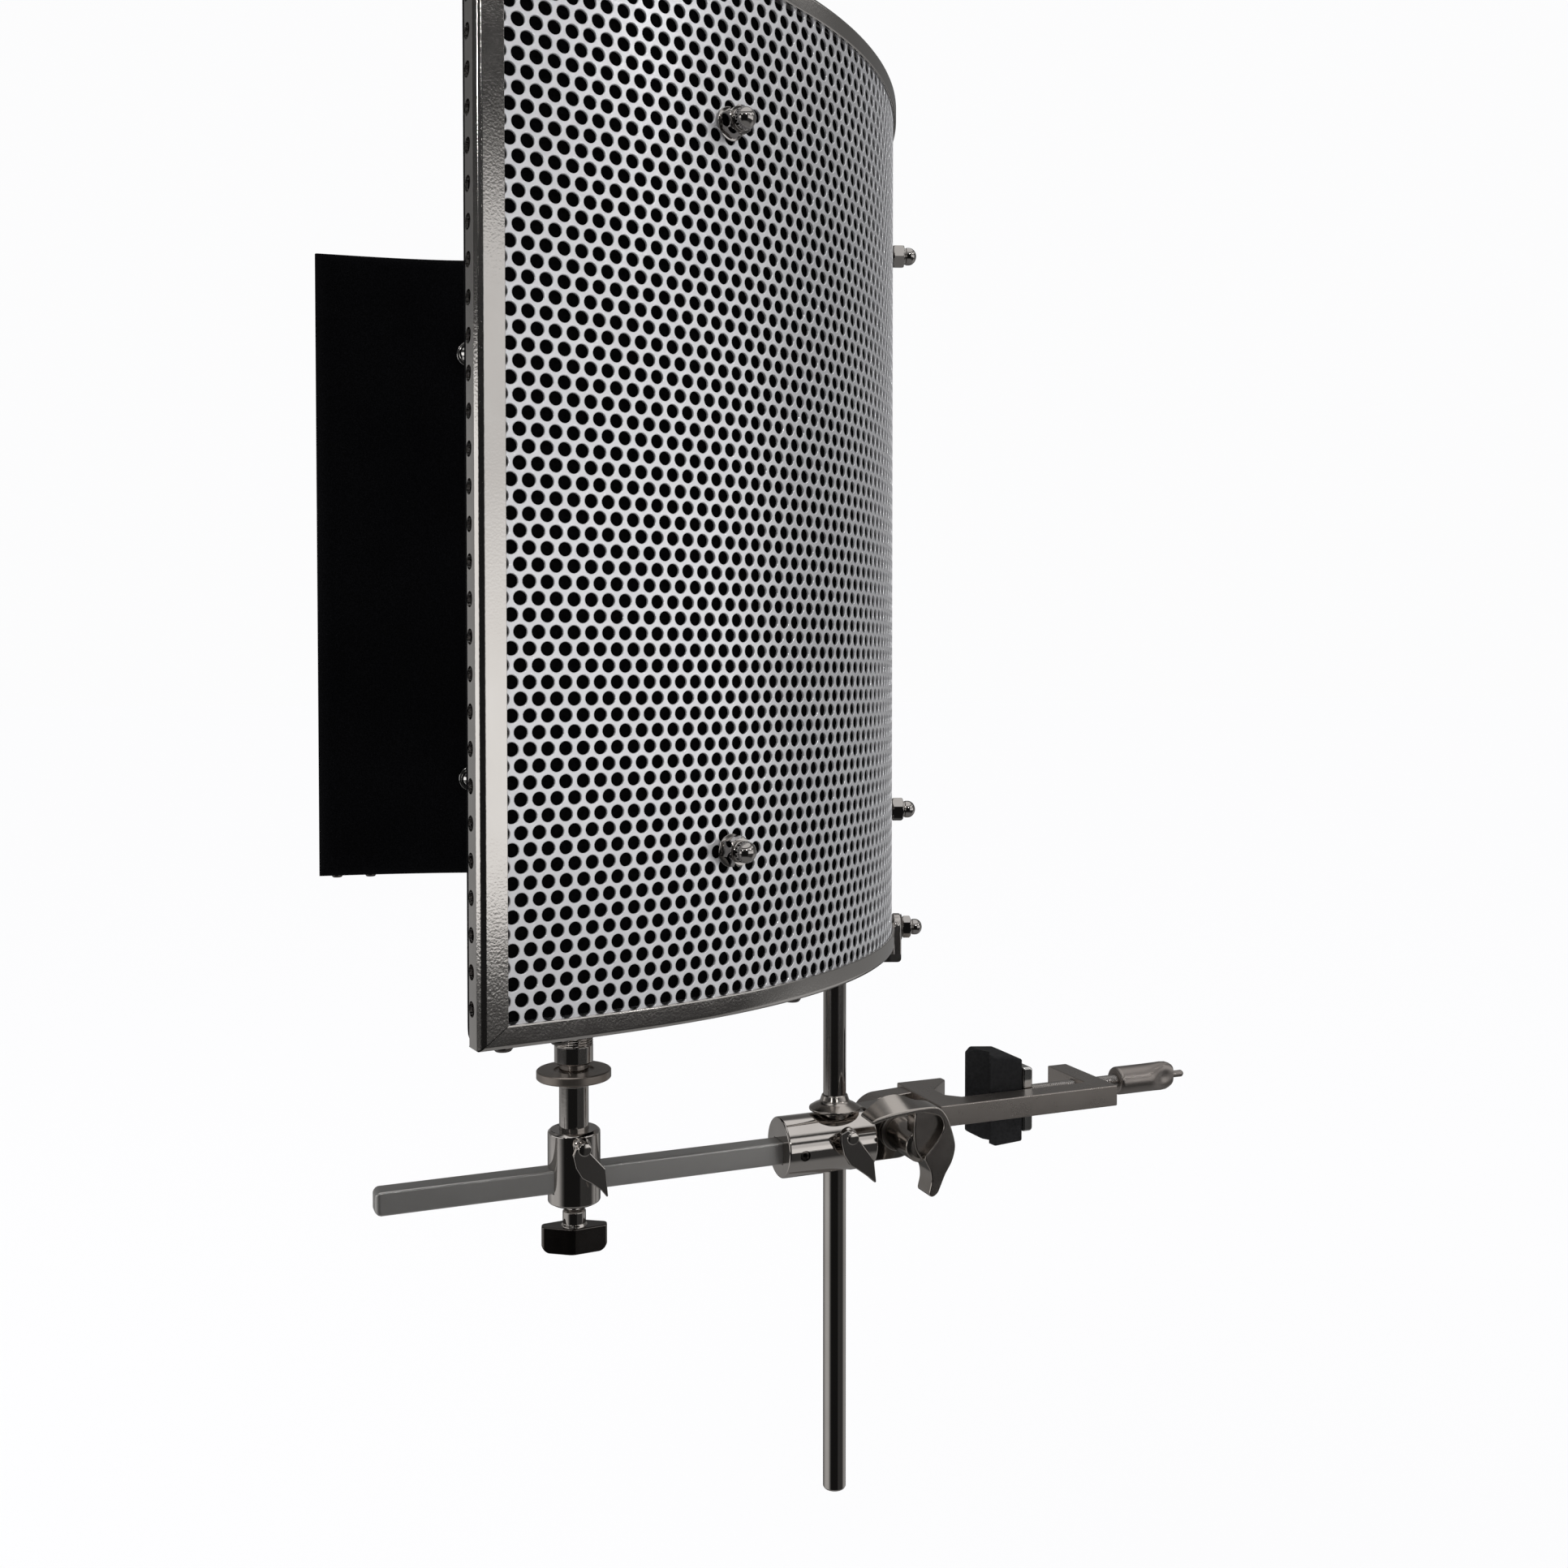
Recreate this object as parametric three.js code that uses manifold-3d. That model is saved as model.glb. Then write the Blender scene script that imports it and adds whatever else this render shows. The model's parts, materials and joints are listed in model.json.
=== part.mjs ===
// Curved microphone isolation shield on a rod, with a sliding microphone post on a square bar
// and a C-shaped stand clamp. Millimetres, +Z up.
// Shield frame: X = 0 is the symmetry plane, Y = 0 the plane of the two wing ends (the open mouth
// faces -Y, the back of the shield is at +Y), Z = 0 the shield's bottom edge. The whole group is
// shifted to put the origin on the flat land of the clamp's fixed jaw, level with the clamp screw.
import * as THREE from 'three';
import { mergeVertices } from 'three/addons/utils/BufferGeometryUtils.js';
import Module from 'manifold-3d';

const wasm = await Module();
wasm.setup();

// ---------- driving dimensions ----------
// An "arc" is a length along the outer face from the +X wing end, a "depth" is measured inward
// from that face, and Y0/Y1 or Z0/Z1 are the two limits of a part.
// plan curve of the outer face
const HALF_WIDTH = 203.16;
const WING_FLARE = 7.94;              // degrees, wings open outward at the mouth
const EASE_LENGTH = 77.5;             // curvature grows from zero over this arc
const SHOULDER_R = 180;
const BACK_R = 221;
const BLEND_START = 50;               // degrees turned where the shoulder blends into the back
const BLEND_SPAN = 12;                // degrees
const CURVE_STEP = 0.1;
const HEIGHT = 310;
const SEGMENTS = 28;                  // flats along the whole wall
// edge channels
const CHANNEL_T = 0.9;                // gauge
const CHANNEL_W = 10;                 // width over the flanges
const END_ARC = -1;                   // outside of the wing end channel's web
const RIM_FLANGE = 6.4;
const END_FLANGE_ARC = 7.3;           // where the wing end channel's flanges stop
const MITRE_GAP = 0.12;               // left on each side of a mitre line
const RIM_SCREW_ARCS = [7.5, 24, 112];
const RIM_SCREW_DEPTH = 5;
// wall layers
const SHEET_T = 1;
const SHEET_GAP = 0.2;                // between a sheet and its neighbours
const FOIL_DEPTH = [5.4, 5.7];
const FOIL_GAP = 0.15;
const FOAM_DEPTH = [10.25, 24];
// through bolts
const BOLT_ARCS = [79, 237];
const BOLT_HEIGHTS = [49, 261];
const BOLT_R = 2.4;
const BOLT_HOLE_R = 2.8;
// rod and its bracket
const ROD_R = 5;
const ROD_NECK_R = 3.9;
const ROD_Y = 194.5;
const ROD_BOTTOM = -256;
const ROD_TOP = -2.2;
const STRAP_T = 3;
const STRAP_Z = -9.4;
const TAB_TOP = 8.6;
const TAB_ROUND = 5;                  // height of the tab's rounded top
const TAB_HALF = 5.2;
const TAB_GAP = 0.35;                 // between tab and outer face
const TAB_NUT_Z = 3.4;
// clamp boss on the rod
const BOSS_R = 13;
const BOSS_Z = -102.6;
const BOSS_Y0 = 168;
const BOSS_Y1 = 209.6;
const ROD_SCREW_Z = -96.5;
const GRUB_Y = 175.2;
const GRUB_Z = -103.6;
// square bar
const BAR = 9.5;
const BAR_Z = -104;
const BAR_Y0 = -2;
const BAR_Y1 = 188.6;
const BAR_CHAMFER = 1.4;
// microphone post
const POST_Y = 77.8;
const POST_R = 10.7;
const POST_TOP = -84;
const POST_BOTTOM = -114.4;
const POST_SCREW_Z = -88.2;
const NECK_R = 6;
const PIN_R = 3.8;
const DISC_R = 15.2;
const DISC_Z0 = -63.4;
const DISC_Z1 = DISC_Z0 + 3.7;
const STUD_R = 7.9;
const STUD_TOP = -44;
// tilt knuckle
const TILT_Y = 222;
const TILT_Z = -100;
const LUG_R = 12.1;
const TILT_BOLT_R = 4;
// stand clamp
const FRAME_HALF = 21.5;
const FRAME_Y0 = 235.5;
const FRAME_Y1 = 326.6;
const FRAME_Z0 = -95.8;
const FRAME_Z1 = -86.5;
const REAR_ARM = 10.4;
const SIDE_ARM = 10.8;
const LAND_Y = 246;
const LAND_HALF = 5;
const JAW_TIP_Y = 258.5;              // end of the fixed jaw's -X slope
const SCREW_Z = -91;
const SCREW_R = 3;
const PAD_Y0 = 266;
const PAD_Y1 = 283.8;
const PLATE_Y1 = 289.2;

// ---------- materials ----------
const standard = (settings) => new THREE.MeshStandardMaterial(settings);
const MATERIALS = {
  sheet: standard({ color: 0xc3c4c8, metalness: 0.9, roughness: 0.35 }),
  trim: standard({ color: 0x97918c, metalness: 1.0, roughness: 0.15 }),
  foam: standard({ color: 0x0c0c0e, metalness: 0.0, roughness: 1.0 }),
  wool: standard({ color: 0x141416, metalness: 0.0, roughness: 1.0 }),
  foil: standard({ color: 0xd2d2d0, metalness: 1.0, roughness: 0.3 }),
  nickel: standard({ color: 0x6d6662, metalness: 1.0, roughness: 0.12 }),
  satin: standard({ color: 0x787572, metalness: 0.9, roughness: 0.38 }),
  dark: standard({ color: 0x2a2624, metalness: 1.0, roughness: 0.2 }),
  rubber: standard({ color: 0x101012, metalness: 0.0, roughness: 0.85 }),
};

// ---------- solids and placement ----------
const root = new THREE.Group();
root.position.set(0, -LAND_Y, -SCREW_Z);

function solid(geometry, frame) {
  geometry.applyMatrix4(frame);
  // only positions may remain, or the vertices along sharp edges would not merge
  geometry.deleteAttribute('normal');
  geometry.deleteAttribute('uv');
  const merged = mergeVertices(geometry, 1e-4);
  return new wasm.Manifold(new wasm.Mesh({
    numProp: 3,
    vertProperties: new Float32Array(merged.attributes.position.array),
    triVerts: new Uint32Array(merged.index.array),
  }));
}

function piece(name, shape, material) {
  const { vertProperties, triVerts } = shape.getMesh();
  const geometry = new THREE.BufferGeometry();
  const positions = new THREE.BufferAttribute(new Float32Array(vertProperties), 3);
  geometry.setAttribute('position', positions);
  geometry.setIndex(new THREE.BufferAttribute(new Uint32Array(triVerts), 1));
  const mesh = new THREE.Mesh(geometry, MATERIALS[material]);
  mesh.name = name;
  root.add(mesh);
}

const join = (...shapes) => shapes.reduce((sum, shape) => sum.add(shape));
const cut = (body, ...tools) => tools.reduce((rest, tool) => rest.subtract(tool), body);
const rad = (degrees) => (degrees * Math.PI) / 180;

const move = (x, y, z) => new THREE.Matrix4().makeTranslation(x, y, z);
const axes = (...vectors) =>
  new THREE.Matrix4().makeBasis(...vectors.map((vector) => new THREE.Vector3(...vector)));
// frames whose own Y axis lies along the shield's X or Z
const alongX = (y, z) => move(0, y, z).multiply(new THREE.Matrix4().makeRotationZ(-Math.PI / 2));
const alongZ = (x, y) => move(x, y, 0).multiply(new THREE.Matrix4().makeRotationX(Math.PI / 2));

const box = (x0, x1, y0, y1, z0, z1) => solid(
  new THREE.BoxGeometry(x1 - x0, y1 - y0, z1 - z0),
  move((x0 + x1) / 2, (y0 + y1) / 2, (z0 + z1) / 2));

// cylinder along a frame's Y axis
const cylinder = (radius, start, end, sides, frame) => solid(
  new THREE.CylinderGeometry(radius, radius, end - start, sides),
  frame.clone().multiply(move(0, (start + end) / 2, 0)));
const cylX = (radius, x0, x1, y, z, sides = 24) => cylinder(radius, x0, x1, sides, alongX(y, z));
const cylY = (radius, y0, y1, x, z, sides = 24) => cylinder(radius, y0, y1, sides, move(x, 0, z));
const cylZ = (radius, z0, z1, x, y, sides = 24) => cylinder(radius, z0, z1, sides, alongZ(x, y));

// hexagon standing on a frame's origin along its Y axis, given its width across flats
const hexagon = (flats, height, frame) =>
  cylinder(flats / 2 / Math.cos(Math.PI / 6), 0, height, 6, frame);

// lathe about a frame's Y axis of a profile of (radius, height), outer side listed upward
const turned = (profile, sides, frame) => solid(
  new THREE.LatheGeometry(profile.map((point) => new THREE.Vector2(...point)), sides), frame);

function prism(points, depth, frame) {
  const shape = new THREE.Shape(points.map((point) => new THREE.Vector2(...point)));
  return solid(new THREE.ExtrudeGeometry(shape, { depth, bevelEnabled: false }), frame);
}
// outline in (y, z)
const prismX = (outline, x0, x1) =>
  prism(outline, x1 - x0, axes([0, 1, 0], [0, 0, 1], [1, 0, 0]).setPosition(x0, 0, 0));
// outline in a frame's (x, z)
const prismY = (outline, y0, y1, frame) => prism(outline, y1 - y0,
  frame.clone().multiply(axes([1, 0, 0], [0, 0, 1], [0, -1, 0]).setPosition(0, y1, 0)));
// outline in a frame's (x, y)
const prismZ = (outline, z0, z1, frame = move(0, 0, 0)) =>
  prism(outline, z1 - z0, frame.clone().multiply(move(0, 0, z0)));
const shifted = (outline, dx, dy) => outline.map(([x, y]) => [x + dx, y + dy]);

// ---------- plan curve of the outer face ----------
// starts at the origin along +x and turns left, up to the symmetry plane
function planCurve() {
  const stations = [];
  let arc = 0;
  let x = 0;
  let y = 0;
  let turn = 0;
  while (turn < rad(90 - WING_FLARE)) {
    const shoulder = Math.min(arc / EASE_LENGTH, 1) / SHOULDER_R;
    const blend = THREE.MathUtils.clamp((turn - rad(BLEND_START)) / rad(BLEND_SPAN), 0, 1);
    const curvature = shoulder * (1 - blend) + blend / BACK_R;
    stations.push({ arc, x, y, turn });
    const middle = turn + (curvature * CURVE_STEP) / 2;
    x += Math.cos(middle) * CURVE_STEP;
    y += Math.sin(middle) * CURVE_STEP;
    turn += curvature * CURVE_STEP;
    arc += CURVE_STEP;
  }
  return stations;
}
const CURVE = planCurve();
const HALF_ARC = CURVE[CURVE.length - 1].arc;
const FULL_ARC = 2 * HALF_ARC;
const bothSides = (arcs) => [...arcs, ...arcs.map((arc) => FULL_ARC - arc)];

// place, tangent and outward normal of the outer face; past a wing end the curve runs straight
function facePoint(arc) {
  const side = arc > HALF_ARC ? -1 : 1;
  const fromEnd = side < 0 ? FULL_ARC - arc : arc;
  const index = THREE.MathUtils.clamp(Math.floor(fromEnd / CURVE_STEP), 0, CURVE.length - 2);
  const before = CURVE[index];
  const after = CURVE[index + 1];
  const part = (fromEnd - before.arc) / CURVE_STEP;
  const between = (key) => before[key] + (after[key] - before[key]) * part;
  const x = between('x');
  const y = between('y');
  const start = rad(90 + WING_FLARE);
  const heading = start + between('turn');
  return {
    x: side * (HALF_WIDTH + x * Math.cos(start) - y * Math.sin(start)),
    y: x * Math.sin(start) + y * Math.cos(start),
    tangent: [Math.cos(heading), side * Math.sin(heading)],
    normal: [side * Math.sin(heading), -Math.cos(heading)],
  };
}

function inward(arc, depth) {
  const { x, y, normal } = facePoint(arc);
  return [x - normal[0] * depth, y - normal[1] * depth];
}

// stretch of the wall between two depths, two arcs and two heights
function band(depth0, depth1, arc0, arc1, z0, z1) {
  const arcs = [arc0];
  for (let i = 1; i < SEGMENTS; i++) {
    const arc = (FULL_ARC * i) / SEGMENTS;
    if (arc > arc0 + 2 && arc < arc1 - 2) arcs.push(arc);
  }
  arcs.push(arc1);
  const outer = arcs.map((arc) => inward(arc, depth0));
  const inner = arcs.map((arc) => inward(arc, depth1)).reverse();
  return prismZ([...outer, ...inner], z0, z1);
}

// frame on the wall: x against the arc, y outward, z up
function wallFrame(arc, depth, z) {
  const { tangent, normal } = facePoint(arc);
  return axes([-tangent[0], -tangent[1], 0], [...normal, 0], [0, 0, 1])
    .setPosition(...inward(arc, depth), z);
}

// ---------- wall layers ----------
const boltSites = BOLT_HEIGHTS.flatMap((z) => {
  const [wing, back] = BOLT_ARCS;
  return [wing, back, FULL_ARC - back, FULL_ARC - wing].map((arc) => wallFrame(arc, 0, z));
});
const boltHoles = boltSites.map((frame) => cylinder(BOLT_HOLE_R, -42, 18, 6, frame));

const SHEET_SETBACK = [1.4, 1.4];     // from the wing ends, from the rims
const FILL_SETBACK = [8, 6.8];
const outerSheet0 = CHANNEL_T + SHEET_GAP;
const outerSheet1 = outerSheet0 + SHEET_T;
const innerSheet1 = CHANNEL_W - CHANNEL_T - SHEET_GAP;
const innerSheet0 = innerSheet1 - SHEET_T;
// name, material, depth from, depth to, setback
const LAYERS = [
  ['outer_sheet', 'sheet', outerSheet0, outerSheet1, SHEET_SETBACK],
  ['outer_wool', 'wool', outerSheet1 + SHEET_GAP, FOIL_DEPTH[0] - FOIL_GAP, FILL_SETBACK],
  ['foil_layer', 'foil', ...FOIL_DEPTH, FILL_SETBACK],
  ['inner_wool', 'wool', FOIL_DEPTH[1] + FOIL_GAP, innerSheet0 - SHEET_GAP, FILL_SETBACK],
  ['inner_sheet', 'sheet', innerSheet0, innerSheet1, SHEET_SETBACK],
];
for (const [name, material, depth0, depth1, [end, rim]] of LAYERS) {
  const layer = band(depth0, depth1, end, FULL_ARC - end, rim, HEIGHT - rim);
  piece(name, cut(layer, ...boltHoles), material);
}
// foam: a thin full-size base and a smaller raised slab inside it
const foam = join(
  band(FOAM_DEPTH[0], 15, 1.2, FULL_ARC + 0.9, 0.3, HEIGHT - 0.3),
  band(14.5, FOAM_DEPTH[1], 6, FULL_ARC - 6, 6, HEIGHT - 6));
piece('foam_lining', cut(foam, ...boltHoles), 'foam');

// ---------- edge channels with mitred corners ----------
// height of the mitre line above the rim, from the corner across both flange depths
const mitreLine = (arc) => (RIM_FLANGE / (END_FLANGE_ARC - END_ARC)) * (arc - END_ARC);
// outlines in (arc, height) of what is cut away at the bottom corner of the +X wing
const LINE_START = -5;
const LINE_END = 14;
const ABOVE_MITRE = [
  [LINE_START, mitreLine(LINE_START) - MITRE_GAP], [LINE_END, mitreLine(LINE_END) - MITRE_GAP],
  [LINE_END, 40], [LINE_START - 20, 40], [LINE_START - 20, mitreLine(LINE_START) - MITRE_GAP],
];
const BELOW_MITRE = [
  [LINE_START, mitreLine(LINE_START) + MITRE_GAP], [LINE_START, -20], [40, -20],
  [40, mitreLine(40) + MITRE_GAP], [LINE_END, mitreLine(LINE_END) + MITRE_GAP],
];
const flipX = (shape) => shape.mirror([1, 0, 0]);
const mitreCut = (outline, atTop) => {
  const wallOutline = outline.map(([arc, z]) => [-arc, z]);
  const tool = prismY(wallOutline, -30, 30, wallFrame(0, 0, 0));
  return atTop ? tool.mirror([0, 0, 1]).translate([0, 0, HEIGHT]) : tool;
};

function rimChannel(atTop) {
  const heights = (size) => (atTop ? [HEIGHT - size, HEIGHT] : [0, size]);
  const strip = (depth0, depth1, size) =>
    band(depth0, depth1, END_ARC, FULL_ARC - END_ARC, ...heights(size));
  const channel = join(
    strip(0, CHANNEL_W, CHANNEL_T),
    strip(0, CHANNEL_T, RIM_FLANGE),
    strip(CHANNEL_W - CHANNEL_T, CHANNEL_W, RIM_FLANGE));
  const tool = mitreCut(ABOVE_MITRE, atTop);
  return cut(channel, tool, flipX(tool));
}

function endChannel() {
  const strip = (depth0, depth1, arc) => band(depth0, depth1, END_ARC, arc, 0, HEIGHT);
  const channel = join(
    strip(0, CHANNEL_W, END_ARC + CHANNEL_T),
    strip(0, CHANNEL_T, END_FLANGE_ARC),
    strip(CHANNEL_W - CHANNEL_T, CHANNEL_W, END_FLANGE_ARC));
  return cut(channel, mitreCut(BELOW_MITRE, false), mitreCut(BELOW_MITRE, true));
}

const rimScrewSites = bothSides(RIM_SCREW_ARCS).map((arc) => inward(arc, RIM_SCREW_DEPTH));
const rimScrewHoles = rimScrewSites.map(([x, y]) => cylZ(1.3, -2, 3, x, y, 8));
piece('bottom_channel', cut(rimChannel(false), ...rimScrewHoles), 'trim');
piece('top_channel', rimChannel(true), 'trim');
piece('end_channel_right', endChannel(), 'trim');
piece('end_channel_left', flipX(endChannel()), 'trim');

rimScrewSites.forEach(([x, y], i) => {
  const head = cylZ(2.6, -1.6, -0.1, x, y, 10);
  const shank = cylZ(1.0, -0.4, 4.6, x, y, 8);
  piece(`rim_screw_${i + 1}`, join(head, shank), 'dark');
});

// ---------- through bolts ----------
// domed heads on the foam, cap nuts on the outer face
const HEAD_Y = -FOAM_DEPTH[1] - 0.7;
const BOLT_PROFILE = [
  [0, HEAD_Y - 3.9], [1.6, HEAD_Y - 3.7], [3.6, HEAD_Y - 2.8], [4.8, HEAD_Y - 1.2],
  [4.8, HEAD_Y], [BOLT_R, HEAD_Y], [BOLT_R, 3.6], [0, 3.6],
];
const CAP_DOME = [[0, 3.2], [3.55, 3.2], [3.55, 5.6], [3.2, 7.3], [2.1, 8.8], [0, 9.4]];

boltSites.forEach((frame, i) => {
  piece(`through_bolt_${i + 1}`, turned(BOLT_PROFILE, 8, frame), 'nickel');
  const nut = join(hexagon(8, 4.2, frame), turned(CAP_DOME, 10, frame));
  const bore = cylinder(2.75, -1.7, 4.3, 6, frame);
  piece(`cap_nut_${i + 1}`, cut(nut, bore), 'nickel');
});

// ---------- rod and its bracket ----------
const tabArcs = bothSides([BOLT_ARCS[1]]);
const BRACKET_DOME = [[0, 2.6], [3.1, 2.6], [3.1, 4.6], [2.5, 6.2], [0, 7.4]];

// upright tab with a rounded top, just outside the wall
function bracketTab(arc) {
  const outline = [[-TAB_HALF, STRAP_Z], [TAB_HALF, STRAP_Z]];
  for (let i = 0; i <= 6; i++) {
    const angle = (Math.PI * i) / 6;
    outline.push([
      TAB_HALF * Math.cos(angle),
      TAB_TOP - TAB_ROUND + TAB_ROUND * Math.sin(angle),
    ]);
  }
  return prismY(outline, 0, STRAP_T, wallFrame(arc, -TAB_GAP, 0));
}

// curved strap under the shield, turned up at both ends against the rim
function rodBracket() {
  const strip = (depth0, depth1, arc0, arc1) =>
    band(depth0, depth1, arc0 - TAB_HALF, arc1 + TAB_HALF, STRAP_Z, STRAP_Z + STRAP_T);
  return cut(
    join(
      strip(0.8, 13, ...tabArcs),
      ...tabArcs.map((arc) => strip(-TAB_GAP - STRAP_T, 2, arc, arc)),
      ...tabArcs.map(bracketTab)),
    cylZ(ROD_NECK_R + 0.3, -20, 5, 0, ROD_Y, 16),
    ...tabArcs.map((arc) => cylinder(2.7, -2, 5, 8, wallFrame(arc, 0, TAB_NUT_Z))));
}
piece('rod_bracket', rodBracket(), 'satin');

tabArcs.forEach((arc, i) => {
  const frame = wallFrame(arc, -TAB_GAP - STRAP_T - 0.1, TAB_NUT_Z);
  // the stud is part of the nut and stops just short of the wall
  const stud = cylinder(2.0, -3.2, 0.8, 8, frame);
  const nut = join(hexagon(7, 3.4, frame), turned(BRACKET_DOME, 12, frame), stud);
  piece(`bracket_nut_${i + 1}`, nut, 'nickel');
});

// rod with a stepped top through the strap and a thin nut above it
piece('support_rod', join(
  cylZ(ROD_R, ROD_BOTTOM, STRAP_Z - 0.15, 0, ROD_Y, 16),
  cylZ(ROD_NECK_R, STRAP_Z - 1, ROD_TOP, 0, ROD_Y, 16)), 'nickel');
piece('rod_top_nut', cut(
  cylZ(7.4, STRAP_Z + STRAP_T + 0.15, ROD_TOP - 0.3, 0, ROD_Y, 6),
  cylZ(ROD_NECK_R + 0.3, -20, 5, 0, ROD_Y, 16)), 'satin');

// ---------- rod clamp and square bar ----------
// length of the bar's section, enlarged all round by a gap
const barSection = (gap, y0, y1) => {
  const half = BAR / 2 + gap;
  return box(-half, half, y0, y1, BAR_Z - half, BAR_Z + half);
};
const rodScrewHole = cylX(2.4, 0, 20, ROD_Y, ROD_SCREW_Z, 10);

// lying cylinder that holds rod and bar, with the knuckle tongue behind it
piece('rod_clamp_boss', cut(
  join(
    cylY(BOSS_R, BOSS_Y0, BOSS_Y1, 0, BOSS_Z, 28),
    cylX(LUG_R, -6, 6, TILT_Y, TILT_Z, 28),
    box(-6, 6, BOSS_Y1 - 2, TILT_Y, TILT_Z - LUG_R, TILT_Z + LUG_R - 1.6)),
  cylZ(7.2, -130, -80, 0, ROD_Y, 16),
  barSection(0.2, BOSS_Y0 - 5, BAR_Y1 + 0.3),
  rodScrewHole,
  cylX(2.3, 4, 20, GRUB_Y, GRUB_Z, 10),
  cylX(TILT_BOLT_R + 0.25, -10, 10, TILT_Y, TILT_Z, 16)), 'nickel');

// flanged bushing in the boss; the rod slides and turns in it
const BUSHING_PROFILE = [
  [5.15, -113.2], [6.95, -113.2], [6.95, -88.9], [10.6, -88.9], [10.6, -87.4],
  [9.2, -86.3], [6.7, -85.1], [5.8, -82.8], [5.15, -82], [5.15, -113.2],
];
piece('rod_bushing', cut(
  turned(BUSHING_PROFILE, 16, alongZ(0, ROD_Y)),
  rodScrewHole,
  barSection(0.3, 180, BAR_Y1 + 0.3)), 'nickel');

// flat blade of the thumb screws, (y, z) from the screw axis
const BLADE = [
  [-5.2, 2.6], [-2.4, 3.8], [0.6, 2.4], [10.0, -10.2], [11.2, -21.0],
  [7.2, -17.4], [2.4, -13.8], [-1.0, -11.6], [-3.8, -7.0], [-5.2, -1.6],
];
const thumbScrew = ({ y, z, tip, hubStart, hubEnd }) => join(
  cylX(2.0, tip, hubStart + 2, y, z, 10),
  cylX(3.6, hubStart, hubEnd, y, z, 14),
  prismX(shifted(BLADE, y, z), hubEnd - 3.4, hubEnd - 0.2));
piece('rod_thumb_screw', thumbScrew({
  y: ROD_Y, z: ROD_SCREW_Z, tip: ROD_R + 0.3, hubStart: BOSS_R + 0.3, hubEnd: BOSS_R + 6.4,
}), 'nickel');
piece('bar_grub_screw', cut(
  cylX(2.0, BAR / 2 + 0.3, 12.4, GRUB_Y, GRUB_Z, 10),
  cylX(1.1, 9.5, 14, GRUB_Y, GRUB_Z, 6)), 'dark');

// square bar, chamfered above and below at its free -Y end
function squareBar() {
  const half = BAR / 2;
  const chamfer = (side) => prismX([
    [BAR_Y0 - 1, BAR_Z + side * (half - BAR_CHAMFER)],
    [BAR_Y0 - 1, BAR_Z + side * (half + 1)],
    [BAR_Y0 + BAR_CHAMFER + 1, BAR_Z + side * (half + 1)],
  ], -half - 1, half + 1);
  return cut(barSection(0, BAR_Y0, BAR_Y1), chamfer(1), chamfer(-1));
}
piece('square_bar', squareBar(), 'satin');

// ---------- microphone post ----------
piece('mic_post_block', cut(
  cylZ(POST_R, POST_BOTTOM, POST_TOP, 0, POST_Y, 32),
  barSection(0.15, POST_Y - 20, POST_Y + 20),
  cylZ(NECK_R + 0.1, -98.9, -80, 0, POST_Y),
  cylX(2.3, 5, 20, POST_Y, POST_SCREW_Z, 10),
  cylZ(2.8, -120, -106, 0, POST_Y, 10)), 'nickel');
// the neck carries a thinner pin through the disc into the stud
piece('mic_post_neck', join(
  cylZ(NECK_R, -98.4, DISC_Z0 - 0.1, 0, POST_Y),
  cylZ(PIN_R, DISC_Z0 - 2, STUD_TOP - 3, 0, POST_Y, 12)), 'nickel');

const DISC_PROFILE = [
  [0, DISC_Z0], [DISC_R - 1.4, DISC_Z0], [DISC_R, DISC_Z0 + 1.0],
  [DISC_R, DISC_Z1 - 0.8], [DISC_R - 0.8, DISC_Z1], [0, DISC_Z1],
];
piece('mic_seat_disc', cut(
  turned(DISC_PROFILE, 24, alongZ(0, POST_Y)),
  cylZ(PIN_R + 0.3, -80, -50, 0, POST_Y, 12),
  cylZ(STUD_R + 0.25, DISC_Z1 - 0.5, -50, 0, POST_Y)), 'nickel');

// the stud stands in a shallow recess of the disc
const STUD_PROFILE = [
  [0, DISC_Z1 - 0.35], [STUD_R, DISC_Z1 - 0.35],
  [STUD_R, STUD_TOP - 1], [STUD_R - 1, STUD_TOP], [0, STUD_TOP],
];
piece('mic_thread_stud', cut(
  turned(STUD_PROFILE, 20, alongZ(0, POST_Y)),
  cylZ(PIN_R + 0.3, -80, STUD_TOP - 2.7, 0, POST_Y, 12)), 'nickel');
piece('mic_thumb_screw', thumbScrew({
  y: POST_Y, z: POST_SCREW_Z, tip: NECK_R + 0.4, hubStart: POST_R + 0.35, hubEnd: POST_R + 6.6,
}), 'nickel');

// two-winged knob whose screw clamps the block to the bar from below
const KNOB_AXIS = [0.254, 0.967];     // direction of the wings in (x, y)
// the wings seen from above, (along, across)
const KNOB_PLAN = [
  [-13.3, -2.2], [-0.7, -6.8], [13.3, -2.2], [13.3, 2.2], [-0.7, 6.8], [-13.3, 2.2],
];
// the wings seen from the side, (along, z)
const KNOB_SIDE = [
  [-13.4, -123.5], [-13.4, -130.4], [-12, -133], [-9.4, -134.3],
  [9.4, -134.3], [12, -133], [13.4, -130.4], [13.4, -123.5],
];
function lockKnob() {
  const [x, y] = KNOB_AXIS;
  const frame = axes([x, y, 0], [-y, x, 0], [0, 0, 1]).setPosition(0, POST_Y, 0);
  const wings = prismZ(KNOB_PLAN, -134.2, -123.6, frame);
  return join(
    wings.intersect(prismY(KNOB_SIDE, -12, 12, frame)),
    cylZ(4.8, -124.5, -117.2, 0, POST_Y, 20),
    cylZ(2.5, -118, BAR_Z - BAR / 2 - 0.3, 0, POST_Y, 12));
}
piece('mic_lock_knob', lockKnob(), 'dark');

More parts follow.
